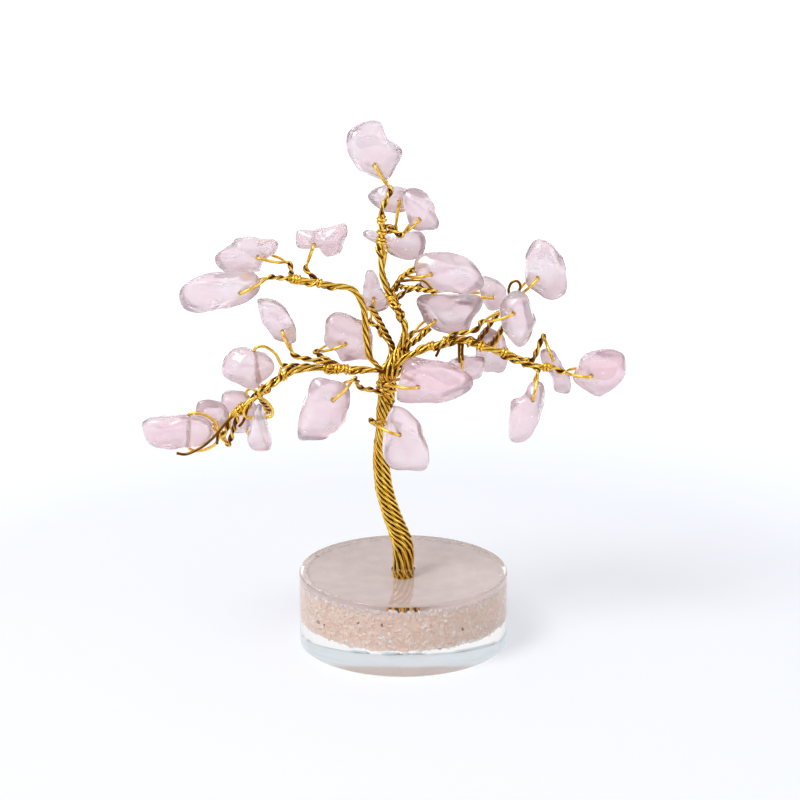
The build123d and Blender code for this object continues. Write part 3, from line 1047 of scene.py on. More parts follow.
CHIPS: dict[int, Chip] = {
    1: Chip(
        (-0.43, 0.00, 3.52), (0.88, 0.84, 0.50), (-0.22, -0.06), 75, 300,
        (
            (-0.45, 0.27), (-0.31, 0.38), (-0.15, 0.44), (-0.02, 0.45), (0.11, 0.42), (0.19, 0.32),
            (0.29, 0.21), (0.41, 0.11), (0.50, 0.00), (0.50, -0.10), (0.43, -0.24), (0.34, -0.40),
            (0.23, -0.50), (0.09, -0.49), (-0.10, -0.44), (-0.29, -0.41), (-0.39, -0.28), (-0.46, -0.10),
            (-0.48, 0.11),
        ),
    ),
    2: Chip(
        (-0.19, 0.50, 2.69), (0.72, 0.44, 0.36), (-0.18, 0.00), 176, 262,
        (
            (-0.48, 0.10), (-0.36, 0.28), (-0.10, 0.40), (0.10, 0.38), (0.35, 0.30), (0.50, 0.10),
            (0.45, -0.20), (0.20, -0.35), (-0.10, -0.30), (-0.35, -0.15),
        ),
    ),
    3: Chip(
        (0.26, 0.06, 2.60), (0.64, 0.54, 0.40), (-0.20, 0.00), 82, 225,
        (
            (-0.39, 0.39), (-0.18, 0.46), (0.06, 0.41), (0.25, 0.24), (0.32, 0.03), (0.37, -0.10),
            (0.42, -0.31), (0.34, -0.45), (0.12, -0.47), (-0.18, -0.44), (-0.33, -0.23), (-0.42, 0.10),
        ), pink=0.2,
    ),
    4: Chip(
        (-0.14, 0.56, 1.94), (1.00, 0.48, 0.40), (-0.12, 0.00), 4, 262,
        (
            (-0.50, 0.15), (-0.38, 0.30), (-0.14, 0.12), (0.12, 0.12), (0.30, 0.27), (0.42, 0.24),
            (0.50, 0.00), (0.45, -0.30), (0.20, -0.48), (-0.05, -0.30), (-0.30, -0.05),
        ),
    ),
    5: Chip(
        (0.70, -0.12, 1.65), (1.08, 0.66, 0.48), (-0.26, 0.00), 356, 190,
        (
            (-0.48, 0.21), (-0.37, 0.41), (-0.20, 0.47), (0.01, 0.44), (0.22, 0.34), (0.37, 0.17),
            (0.45, -0.08), (0.47, -0.30), (0.27, -0.49), (-0.04, -0.50), (-0.25, -0.44), (-0.43, -0.17),
        ), pink=0.1,
    ),
    6: Chip(
        (0.72, 0.30, 0.92), (1.04, 0.64, 0.46), (-0.22, -0.12), 0, 215,
        (
            (-0.50, 0.38), (-0.42, 0.50), (0.00, 0.47), (0.42, 0.45), (0.48, 0.16), (0.44, 0.00),
            (0.34, -0.27), (0.24, -0.44), (0.01, -0.50), (-0.19, -0.44), (-0.35, -0.22), (-0.45, 0.08),
        ), pink=0.2,
    ),
    7: Chip(
        (1.40, 0.62, 1.17), (0.56, 0.44, 0.32), (-0.06, 0.00), 95, 178,
        (
            (-0.45, 0.45), (0.00, 0.42), (0.30, 0.30), (0.48, 0.10), (0.45, -0.20), (0.30, -0.45),
            (-0.10, -0.50), (-0.30, -0.30), (-0.40, 0.00),
        ),
    ),
    8: Chip(
        (1.76, -0.14, 0.93), (0.92, 0.54, 0.40), (-0.14, -0.12), 275, 200,
        (
            (-0.35, 0.35), (-0.10, 0.46), (0.25, 0.42), (0.44, 0.15), (0.50, -0.11), (0.40, -0.29),
            (0.20, -0.47), (0.04, -0.50), (-0.16, -0.40), (-0.34, -0.24), (-0.45, -0.05), (-0.48, 0.14),
        ), pink=0.1,
    ),
    9: Chip(
        (2.18, 0.30, 1.64), (1.02, 0.64, 0.46), (-0.14, 0.12), 78, 225,
        (
            (-0.26, 0.41), (-0.07, 0.46), (0.08, 0.45), (0.27, 0.35), (0.42, 0.13), (0.50, -0.08),
            (0.50, -0.23), (0.45, -0.41), (0.27, -0.50), (0.05, -0.50), (-0.14, -0.41), (-0.41, -0.28),
            (-0.48, -0.10), (-0.50, 0.10), (-0.41, 0.28),
        ),
    ),
    10: Chip(
        (1.41, 0.62, 0.24), (0.76, 0.50, 0.36), (0.10, 0.00), 95, 60,
        (
            (-0.38, 0.36), (-0.10, 0.44), (0.27, 0.31), (0.45, 0.00), (0.38, -0.46), (0.05, -0.50),
            (-0.31, -0.49), (-0.50, -0.20),
        ),
    ),
    11: Chip(
        (0.99, 0.12, 0.07), (0.60, 0.46, 0.34), (-0.12, 0.00), 352, 95,
        (
            (-0.50, 0.20), (-0.20, 0.42), (0.20, 0.50), (0.50, 0.30), (0.45, -0.10), (0.20, -0.42),
            (-0.20, -0.50), (-0.45, -0.20),
        ), pink=0.3,
    ),
    12: Chip(
        (0.48, -0.48, 0.03), (1.18, 0.74, 0.50), (-0.22, -0.04), 2, 180,
        (
            (-0.43, 0.17), (-0.30, 0.43), (-0.09, 0.50), (0.11, 0.47), (0.32, 0.26), (0.50, 0.04),
            (0.50, -0.18), (0.32, -0.40), (0.11, -0.50), (-0.09, -0.50), (-0.35, -0.50), (-0.48, -0.40),
            (-0.49, -0.09),
        ), pink=0.5,
    ),
    13: Chip(
        (0.04, -0.62, -0.84), (1.04, 0.74, 0.50), (-0.12, -0.12), 275, 160,
        (
            (-0.21, 0.46), (0.07, 0.41), (0.25, 0.28), (0.39, 0.05), (0.49, -0.21), (0.50, -0.40),
            (0.42, -0.50), (0.11, -0.50), (-0.21, -0.50), (-0.38, -0.37), (-0.43, -0.16), (-0.38, 0.10),
            (-0.31, 0.31),
        ),
    ),
    14: Chip(
        (2.36, 0.14, 0.04), (0.78, 0.48, 0.36), (-0.26, 0.08), 290, 112,
        (
            (-0.46, 0.44), (-0.31, 0.50), (-0.08, 0.45), (0.03, 0.31), (0.25, 0.05), (0.40, -0.10),
            (0.46, -0.41), (0.40, -0.50), (0.14, -0.50), (-0.08, -0.47), (-0.12, -0.26), (-0.19, -0.05),
            (-0.34, 0.05), (-0.47, 0.26),
        ), pink=0.1,
    ),
    15: Chip(
        (3.04, -0.25, 0.10), (0.82, 0.76, 0.46), (-0.18, 0.00), 0, 178,
        (
            (-0.47, -0.11), (-0.45, 0.03), (-0.34, 0.31), (-0.19, 0.45), (-0.01, 0.50), (0.26, 0.49),
            (0.44, 0.37), (0.50, 0.14), (0.49, -0.14), (0.36, -0.37), (0.15, -0.49), (-0.01, -0.49),
            (-0.21, -0.39), (-0.40, -0.25),
        ), pink=0.45,
    ),
    16: Chip(
        (1.92, -0.38, -0.48), (1.00, 0.54, 0.40), (-0.24, 0.00), 254, 78,
        (
            (0.19, 0.50), (0.42, 0.49), (0.50, 0.39), (0.50, 0.20), (0.44, 0.00), (0.28, -0.21),
            (0.10, -0.42), (-0.13, -0.50), (-0.36, -0.50), (-0.50, -0.42), (-0.50, -0.16), (-0.50, 0.08),
            (-0.45, 0.20), (-0.18, 0.26), (-0.04, 0.33), (0.02, 0.44),
        ), pink=0.1,
    ),
    17: Chip(
        (-2.42, 0.20, 1.86), (0.98, 0.60, 0.42), (-0.18, 0.00), 182, 345,
        (
            (-0.49, 0.00), (-0.41, 0.17), (-0.26, 0.31), (-0.15, 0.48), (-0.05, 0.50), (0.10, 0.50),
            (0.23, 0.44), (0.39, 0.46), (0.47, 0.35), (0.46, 0.08), (0.36, -0.05), (0.26, -0.18),
            (0.21, -0.43), (0.00, -0.43), (-0.31, -0.50), (-0.46, -0.27),
        ),
    ),
    18: Chip(
        (-1.26, 0.14, 2.10), (0.82, 0.48, 0.38), (-0.14, -0.04), 10, 250,
        (
            (-0.50, 0.20), (-0.44, 0.24), (-0.21, 0.22), (0.00, 0.28), (0.26, 0.40), (0.44, 0.44),
            (0.45, 0.24), (0.36, -0.08), (0.28, -0.36), (0.10, -0.48), (-0.05, -0.40), (-0.13, -0.24),
            (-0.44, -0.24), (-0.50, -0.16),
        ), pink=0.4,
    ),
    19: Chip(
        (-2.80, -0.34, 1.40), (1.26, 0.66, 0.46), (-0.26, 0.00), 184, 25,
        (
            (-0.48, -0.14), (-0.45, 0.13), (-0.33, 0.33), (-0.10, 0.47), (0.21, 0.49), (0.42, 0.50),
            (0.50, 0.28), (0.50, 0.07), (0.39, -0.19), (0.16, -0.34), (-0.10, -0.50), (-0.30, -0.50),
            (-0.43, -0.40),
        ),
    ),
    20: Chip(
        (-1.92, -0.38, 0.97), (0.82, 0.58, 0.38), (-0.20, 0.00), 118, 290,
        (
            (-0.50, 0.45), (-0.23, 0.40), (0.00, 0.35), (0.21, 0.22), (0.36, 0.04), (0.48, -0.14),
            (0.50, -0.32), (0.48, -0.45), (0.30, -0.45), (0.06, -0.40), (-0.17, -0.30), (-0.35, -0.09),
            (-0.47, 0.17),
        ),
    ),
    21: Chip(
        (-2.42, -0.05, 0.12), (0.82, 0.46, 0.60), (-0.16, 0.00), 184, 4,
        (
            (-0.48, -0.06), (-0.46, 0.18), (-0.33, 0.39), (-0.15, 0.49), (0.03, 0.48), (0.16, 0.37),
            (0.34, 0.32), (0.46, 0.18), (0.48, -0.03), (0.42, -0.24), (0.31, -0.36), (0.13, -0.49),
            (-0.02, -0.49), (-0.20, -0.38), (-0.38, -0.27),
        ), roll=90, pink=0.2,
    ),
    22: Chip(
        (-0.86, 0.36, 0.53), (0.78, 0.76, 0.42), (-0.10, 0.04), 80, 200,
        (
            (-0.42, 0.42), (-0.27, 0.50), (-0.06, 0.48), (0.14, 0.39), (0.35, 0.31), (0.49, 0.18),
            (0.50, -0.08), (0.50, -0.34), (0.45, -0.50), (0.30, -0.50), (0.04, -0.50), (-0.16, -0.50),
            (-0.27, -0.34), (-0.45, -0.24), (-0.50, -0.08), (-0.47, 0.15),
        ), pink=0.2,
    ),
    23: Chip(
        (-1.20, -0.60, -0.39), (1.04, 0.80, 0.52), (-0.22, 0.12), 262, 40,
        (
            (-0.09, 0.45), (0.12, 0.45), (0.34, 0.37), (0.48, 0.23), (0.50, 0.05), (0.46, -0.10),
            (0.43, -0.31), (0.25, -0.44), (-0.06, -0.50), (-0.30, -0.50), (-0.45, -0.50), (-0.47, -0.34),
            (-0.43, -0.10), (-0.33, 0.15), (-0.21, 0.37),
        ), pink=0.15,
    ),
    24: Chip(
        (-0.46, 0.86, 1.16), (0.66, 0.44, 0.34), (-0.16, 0.00), 85, 262,
        (
            (-0.11, 0.40), (0.04, 0.40), (0.23, 0.05), (0.38, -0.16), (0.42, -0.37), (0.23, -0.48),
            (0.00, -0.50), (-0.15, -0.47), (-0.26, -0.26), (-0.22, 0.00),
        ),
    ),
    25: Chip(
        (-3.00, -0.08, -0.69), (0.48, 0.42, 0.32), (-0.12, 0.00), 120, 300,
        (
            (-0.48, 0.27), (-0.38, 0.42), (-0.15, 0.47), (0.08, 0.45), (0.36, 0.30), (0.45, 0.10),
            (0.30, -0.20), (0.02, -0.41), (-0.21, -0.36), (-0.41, -0.20), (-0.49, 0.03),
        ), pink=0.15, grow=(1.3, 1.0, 1.25),
    ),
    26: Chip(
        (-2.60, 0.34, -0.70), (0.60, 0.40, 0.54), (-0.20, 0.00), 180, 5,
        (
            (-0.47, 0.40), (-0.32, 0.50), (-0.11, 0.50), (0.10, 0.47), (0.30, 0.38), (0.48, 0.10),
            (0.40, -0.30), (0.15, -0.50), (-0.20, -0.48), (-0.45, -0.20),
        ), roll=90, pink=0.15, grow=(1.0, 1.0, 1.3),
    ),
    27: Chip(
        (-2.22, -0.62, -0.68), (0.76, 0.38, 0.36), (-0.22, 0.00), 272, 92,
        (
            (0.00, 0.48), (0.17, 0.43), (0.24, 0.27), (0.34, 0.12), (0.43, -0.09), (0.50, -0.30),
            (0.43, -0.45), (0.10, -0.48), (-0.29, -0.43), (-0.45, -0.27), (-0.38, -0.04), (-0.19, 0.22),
            (-0.12, 0.40),
        ), roll=90,
    ),
    28: Chip(
        (-3.50, -0.52, -0.76), (1.12, 0.46, 0.52), (-0.16, 0.00), 178, 352,
        (
            (-0.49, -0.12), (-0.48, 0.16), (-0.38, 0.35), (-0.15, 0.44), (0.01, 0.48), (0.21, 0.42),
            (0.39, 0.33), (0.49, 0.11), (0.44, -0.23), (0.31, -0.46), (0.06, -0.50), (-0.20, -0.50),
            (-0.38, -0.50), (-0.46, -0.34),
        ), roll=90, pink=0.3,
    ),
}

TWIGS: dict[int, Twig] = {
    1: Twig(Limb.CROWN, 1.0),
    2: Twig(Limb.CROWN, 0.88),
    3: Twig(Limb.CROWN, 0.93),
    4: Twig(Limb.CROWN, 0.54),
    5: Twig(Limb.CROWN, 0.52),
    6: Twig(Limb.CROWN, 0.14),
    7: Twig(Limb.CROWN, 0.47, ((0.20, 0.14, 1.38), (0.48, 0.40, 1.30), (0.74, 0.60, 1.24))),
    8: Twig(Limb.RIGHT, 0.42, ((1.12, -0.30, 0.80),)),
    9: Twig(Limb.RIGHT, 0.55, ((1.46, 0.36, 0.88),)),
    10: Twig(Limb.RIGHT, 0.62),
    11: Twig(Limb.RIGHT, 0.34),
    12: Twig(None, 0.93),
    13: Twig(None, 0.78),
    14: Twig(Limb.RIGHT, 0.88),
    15: Twig(Limb.RIGHT, 1.0),
    16: Twig(Limb.RIGHT, 0.75),
    17: Twig(Limb.UPPER_LEFT, 0.97),
    18: Twig(Limb.UPPER_LEFT, 0.84),
    19: Twig(Limb.UPPER_LEFT, 1.0),
    20: Twig(Limb.LOWER_LEFT, 0.34, ((-1.52, -0.30, 0.34),)),
    21: Twig(Limb.LOWER_LEFT, 0.40),
    22: Twig(Limb.LOWER_LEFT, 0.28),
    23: Twig(None, 0.93, ((-0.66, -0.30, -0.12),)),
    24: Twig(Limb.BACK, 1.0),
    25: Twig(Limb.LOWER_LEFT, 0.96),
    26: Twig(Limb.LOWER_LEFT, 0.80),
    27: Twig(Limb.LOWER_LEFT, 0.66),
    28: Twig(Limb.LOWER_LEFT, 1.0),
}

# The chips whose wires make up each packed wire node.
WIRE_NODES: tuple[tuple[int, ...], ...] = (
    (1,), (2, 3), (4,), (5, 7), (6,), (8,), (9,), (10, 11), (12,), (13,), (14,), (15,), (16,), (17, 18),
    (19,), (20,), (21,), (22,), (23,), (24,), (25, 26), (27,), (28,),
)

HUB_LINE: tuple[Shares, ...] = ((-0.06, 0.02, 0.24), (0.00, 0.02, 0.44))


@dataclass
class CutEnd:
    """A short end left over where wires were twisted off: the places it passes, and its strands."""

    places: tuple[Shares, ...]
    strands: int = 1


CUT_ENDS: dict[Limb, tuple[CutEnd, ...]] = {
    Limb.CROWN: (
        CutEnd(
            (
                (-0.18, 0.00, 1.32), (-0.10, -0.10, 1.47), (0.00, -0.22, 1.62), (0.09, -0.30, 1.71),
                (0.16, -0.36, 1.76),
            ),
            2,
        ),
        CutEnd(
            (
                (-0.19, 0.00, 1.32), (-0.10, -0.12, 1.50), (0.01, -0.30, 1.56), (0.13, -0.43, 1.60),
                (0.31, -0.50, 1.60), (0.40, -0.51, 1.52), (0.50, -0.51, 1.42),
            ),
        ),
        CutEnd(
            (
                (-0.19, 0.00, 1.31), (-0.07, -0.12, 1.42), (0.04, -0.28, 1.45), (0.16, -0.41, 1.46),
                (0.31, -0.50, 1.46), (0.40, -0.51, 1.45), (0.50, -0.51, 1.42),
            ),
            2,
        ),
        CutEnd(((-0.07, -0.02, 0.88), (-0.02, -0.07, 0.95), (0.00, -0.09, 1.03)), 2),
    ),
    Limb.BACK: (
        CutEnd(
            (
                (-0.12, 0.12, 0.22), (-0.16, 0.17, 0.39), (-0.29, 0.22, 0.64), (-0.41, 0.25, 0.87),
                (-0.52, 0.27, 1.04),
            ),
            3,
        ),
    ),
    Limb.RIGHT: (
        CutEnd(((0.86, -0.18, 0.58), (0.86, -0.21, 0.40), (0.87, -0.22, 0.25))),
        CutEnd(((0.92, -0.18, 0.58), (0.91, -0.21, 0.42), (0.92, -0.22, 0.29))),
        CutEnd(((0.58, -0.18, 0.54), (0.54, -0.21, 0.43), (0.50, -0.22, 0.35))),
        CutEnd(((-0.04, 0.02, 0.32), (0.07, 0.06, 0.45), (0.23, 0.08, 0.57), (0.41, 0.10, 0.73)), 3),
        CutEnd(
            (
                (1.73, 0.31, 1.16), (1.66, 0.30, 1.21), (1.64, 0.28, 1.31), (1.69, 0.27, 1.42),
                (1.77, 0.26, 1.44), (1.82, 0.27, 1.37), (1.80, 0.29, 1.27), (1.74, 0.31, 1.19),
            ),
        ),
    ),
    Limb.LOWER_LEFT: (
        CutEnd(
            (
                (-2.62, -0.50, -0.51), (-2.76, -0.60, -0.64), (-2.90, -0.76, -0.78), (-3.02, -0.86, -0.87),
                (-3.14, -0.90, -0.94), (-3.27, -0.91, -1.00), (-3.35, -0.91, -1.02), (-3.47, -0.91, -1.00),
            ),
        ),
        CutEnd(((-2.84, -0.64, -0.72), (-2.86, -0.68, -0.82), (-2.87, -0.69, -0.92))),
        CutEnd(((-2.38, -0.52, -0.34), (-2.42, -0.60, -0.45), (-2.46, -0.63, -0.57), (-2.53, -0.62, -0.66))),
    ),
}


@dataclass
class Plan:
    """The tree's sizes and lines, in the row frame."""

    chip_length: float = 12 * MM
    trunk_height: float = 38.4 * MM
    foot_depth: float = 6 * MM
    trunk_pitch: float = 13 * MM
    trunk_lay: float = 1.36 * MM
    limb_pitch: float = 10 * MM
    limb_lay: float = 0.41 * MM
    limb_wires: int = 4
    wire_radius: float = 0.285 * MM
    pair_lay: float = 0.29 * MM
    twig_pitch: float = 4.4 * MM
    limb_taper: float = 0.24
    line_step: float = 0.35 * MM
    base_top: float = 0.0
    trunk: Line = field(default_factory=lambda: Line([]))
    limbs: dict[Limb, Line] = field(default_factory=dict)

    def __post_init__(self) -> None:
        """Works out the trunk's and the limbs' lines."""
        self.base_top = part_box("top_pour")[1][2]
        foot = Vector((0.0, 0.0, self.base_top - self.foot_depth))
        places = [foot]
        for across, up in TRUNK_LINE:
            places.append(Vector((across * self.trunk_height, 0.0, self.base_top + up * self.trunk_height)))
        self.trunk = Line.through(places, self.line_step)
        self.trunk.carry_side(BACK)
        hub = self.trunk.points[-1]
        hub_side = self.trunk.sides[-1]
        hub_other = self.trunk.tangents()[-1].cross(hub_side)
        for limb, shares in LIMB_LINES.items():
            turn = math.tau / len(Limb) * limb.slot
            start = hub + turned(hub_side, hub_other, turn) * self.trunk_lay
            places = [start, start + UP * 0.7 * MM, *[self.crown(share) for share in shares]]
            line = Line.through(places, self.line_step)
            line.carry_side(hub_side)
            self.limbs[limb] = line

    def girth(self, height: float) -> float:
        """The radius of the trunk's ring of wires at a height."""
        share = min(1.0, max(0.0, (height - self.base_top) / self.trunk_height))
        for (low, near), (high, far) in zip(TRUNK_GIRTH, TRUNK_GIRTH[1:]):
            if share <= high:
                return (near + (far - near) * eased((share - low) / (high - low))) * MM
        return TRUNK_GIRTH[-1][1] * MM

    def lay_angles(self) -> list[float]:
        """How far the trunk's wires have turned at each point, from the hub down, less near the foot."""
        angles = [0.0]
        points = self.trunk.points
        for lower, upper in reversed(list(zip(points, points[1:]))):
            share = max(0.0, (lower.z - self.base_top) / self.trunk_height)
            pace = 0.2 + 0.8 * eased(min(1.0, share / 0.2))
            angles.append(angles[-1] + math.tau * pace * (upper - lower).length / self.trunk_pitch)
        return angles[::-1]

    def crown(self, shares: Shares) -> Vector:
        """A place in the crown, from its shares of a chip's length."""
        return Vector((0.0, 0.0, self.base_top + self.trunk_height)) + Vector(shares) * self.chip_length


# Wires of the trunk and limbs


@dataclass
class LimbWires:
    """The wires of the trunk and limbs, each unbroken from the foot in the resin to its limb's last fork."""

    plan: Plan
    laid: LaidWires
    rope_strands: int = 9
    rope_radius: float = 1.62 * MM
    inner_share: float = 0.6
    settle: float = 5.0 * MM

    def build(self) -> list[bpy.types.Object]:
        """Builds one piece for each limb.

        Returns:
            The pieces.
        """
        pieces = []
        for limb in Limb:
            wires = [self._wire(limb, number) for number in range(self.plan.limb_wires)]
            name = f"{limb.value}_wires"
            piece = self.laid.single(
                name,
                wires,
                Wire_Radius=self.plan.wire_radius,
                Step=0.3 * MM,
                Wobble=0.16 * MM,
                Seed=float(limb.slot),
            )
            parts = [piece, *self._wraps(limb), *self._cut_ends(limb)]
            piece = join_pieces(parts, name)
            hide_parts(limb.value)
            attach(piece, "tree")
            pieces.append(piece)
            LOG.info("%s: %d wires and %d ends", name, len(wires), len(parts) - 1)
        return pieces

    def _coil(
        self, carrier: Line, middle: float, turns: float, radius: float, start: float, advance: float = 0.0
    ) -> Line:
        """A line wound round a carrier, with the carrier's left-hand lay.

        Args:
            carrier: the line to wind round.
            middle: how far along it the coil's middle is.
            turns: how many times it goes round.
            radius: its distance from the carrier.
            start: the angle that it starts at.
            advance: how far it goes along the carrier. 0 lays its turns side by side.

        Returns:
            The coil, with its sides.
        """
        steps = max(10, round(turns * 14))
        advance = advance or turns * self.plan.wire_radius * 2.2
        points: list[Vector] = []
        sides: list[Vector] = []
        for step in range(steps + 1):
            share = step / steps
            place, way, side = carrier.at(middle + (share - 0.5) * advance)
            out = squared(Matrix.Rotation(start - math.tau * turns * share, 3, way) @ side, way)
            ease = min(1.0, min(share, 1 - share) * steps / 3)
            points.append(place + out * radius * (0.72 + 0.28 * ease))
            sides.append(out)
        return Line(points, sides)

    def _wraps(self, limb: Limb) -> list[bpy.types.Object]:
        """Close turns of wire round the limb below each twig, and round the trunk at the hub."""
        plan = self.plan
        guide = plan.limbs[limb]
        dice = random.Random(40 + limb.slot)
        coils = []
        for twig in TWIGS.values():
            if twig.limb is limb:
                middle = guide.length() * twig.along - 1.1 * MM
                radius = plan.limb_lay * (1.0 - plan.limb_taper * twig.along) + plan.wire_radius * 1.55
                turns, start = dice.uniform(1.3, 2.4), dice.uniform(0.0, math.tau)
                coils.append(self._coil(guide, middle, turns, radius, start))
        if limb is Limb.LOWER_LEFT:
            for share in (0.945, 0.965):
                middle = plan.trunk.length() * share
                radius = plan.girth(plan.trunk.at(middle)[0].z) + plan.wire_radius * 1.8
                coils.append(self._coil(plan.trunk, middle, 1.15, radius, math.tau * share * 3))
        if limb is Limb.CROWN:
            coils += self._hub_rope()
        return [self._single("wraps", coils)] if coils else []

    def _hub_rope(self) -> list[Line]:
        """Strands wound round the limbs' roots, where the trunk's rope goes on before it opens."""
        plan = self.plan
        hub = plan.trunk.points[-1]
        root = plan.trunk.at(plan.trunk.length() - 1.5 * MM)[0]
        line = Line.through([root, hub, *[plan.crown(share) for share in HUB_LINE]], plan.line_step)
        line.carry_side(BACK)
        whole = line.length()
        starts = [math.tau * number / self.rope_strands for number in range(self.rope_strands)]
        return [self._coil(line, whole / 2, 0.42, self.rope_radius, start, whole * 0.9) for start in starts]

    def _cut_ends(self, limb: Limb) -> list[bpy.types.Object]:
        """The short ends that the twisting left over."""
        parts = []
        for end in CUT_ENDS.get(limb, ()):
            line = Line.through([self.plan.crown(share) for share in end.places], 0.2 * MM)
            line.carry_side(BACK)
            if end.strands == 1:
                parts.append(self._single("cut_end", [line]))
            else:
                parts.append(
                    self.laid.lay(
                        "cut_end",
                        [line],
                        Strands=end.strands,
                        Lay_Radius=self.plan.pair_lay * (0.6 + 0.2 * end.strands),
                        Pitch=self.plan.twig_pitch * (0.3 + 0.2 * end.strands),
                        Wire_Radius=self.plan.wire_radius,
                        Step=0.2 * MM,
                        Wobble=0.1 * MM,
                    )
                )
        return parts

    def _single(self, name: str, lines: list[Line]) -> bpy.types.Object:
        """Lays one even wire along each of some lines."""
        radius = self.plan.wire_radius * 0.95
        # A weaker painted shade on these wires.
        return self.laid.single(name, lines, Wire_Radius=radius, Step=0.16 * MM, Wobble=0.0, Groove=0.35)

    def _wire(self, limb: Limb, number: int) -> Line:
        """One wire's line: round the trunk in its place in the ring, then along the limb in its bundle."""
        plan = self.plan
        slot = math.tau / len(Limb) * limb.slot
        inner = number >= 2
        ring = math.tau / (2 * len(Limb))
        seat = slot + ring * ((0.5 if number % 2 else -0.5) + (0.5 if inner else 0.0))
        own_turn = math.tau / plan.limb_wires * (0, 1, 3, 2)[number]
        points: list[Vector] = []
        sides: list[Vector] = []
        tangents = plan.trunk.tangents()
        for index, (place, laid) in enumerate(zip(plan.trunk.points, plan.lay_angles())):
            side = plan.trunk.sides[index]
            out = turned(side, tangents[index].cross(side), seat + laid)
            points.append(place + out * plan.girth(place.z) * (self.inner_share if inner else 1.0))
            sides.append(out)
        guide = plan.limbs[limb]
        whole = guide.length()
        joined = points[-1] - guide.points[0]
        tangents = guide.tangents()
        gone = 0.0
        for index, place in enumerate(guide.points):
            if index:
                gone += (place - guide.points[index - 1]).length
            side = guide.sides[index]
            turn = own_turn - math.tau * gone / plan.limb_pitch
            out = turned(side, tangents[index].cross(side), turn)
            lay = plan.limb_lay * (1.0 - plan.limb_taper * gone / whole)
            if index:
                points.append(place + joined.lerp(out * lay, eased(min(1.0, gone / self.settle))))
                sides.append(out)
        return Line(points, sides)


# Chips


class ChipFrame:
    """Where a chip's bore, faces and wire loop lie."""

    SWING = math.radians(15)
    LEG_GAP = 1.5 * MM

    def __init__(self, plan: Plan, chip: Chip) -> None:
        """Works out the frame.

        Args:
            plan: the tree's plan.
            chip: the chip's shares.
        """
        angle = math.radians(chip.heading)
        self.along = Vector((math.cos(angle), 0.0, math.sin(angle)))
        self.bore_way = Matrix.Rotation(math.radians(chip.roll), 3, self.along) @ -BACK
        self.across = self.bore_way.cross(self.along)
        self.middle = plan.crown(chip.place)
        ways = (self.along, self.across, self.bore_way)
        grown = [Vector(way[axis] * chip.grow[axis] for axis in range(3)).length for way in ways]
        self.size = Vector(size * share for size, share in zip(chip.size, grown)) * plan.chip_length
        self.bore = Vector((chip.bore[0] * self.size.x, chip.bore[1] * self.size.y))
        self.half = self.size.z / 2
        turn = math.radians(chip.leg - chip.heading)
        self.leg = Vector((math.cos(turn), math.sin(turn)))

    def world(self, x: float, y: float, z: float) -> Vector:
        """A place given along the chip, across it and along its bore."""
        return self.middle + self.along * x + self.across * y + self.bore_way * z

    def off_bore(self, away: float, up: float) -> Vector:
        """The place so far from the bore's middle along the legs and along the bore."""
        spot = self.bore + self.leg * away
        return self.world(spot.x, spot.y, up)

    def reach(self) -> float:
        """How far the chip's rim comes towards its legs, anywhere in its swing."""
        found = 0.0
        for step in range(24):
            angle = math.tau * step / 24
            corner = Vector((math.cos(angle) * self.size.x, math.sin(angle) * self.size.y)) / 2
            arm = corner - self.bore
            off = max(0.0, abs(arm.angle(self.leg)) - self.SWING)
            found = max(found, arm.length * math.cos(off))
        return found

    def tip(self) -> Vector:
        """Where the two legs meet and the twist begins."""
        return self.off_bore(self.reach() + self.LEG_GAP, 0.0)


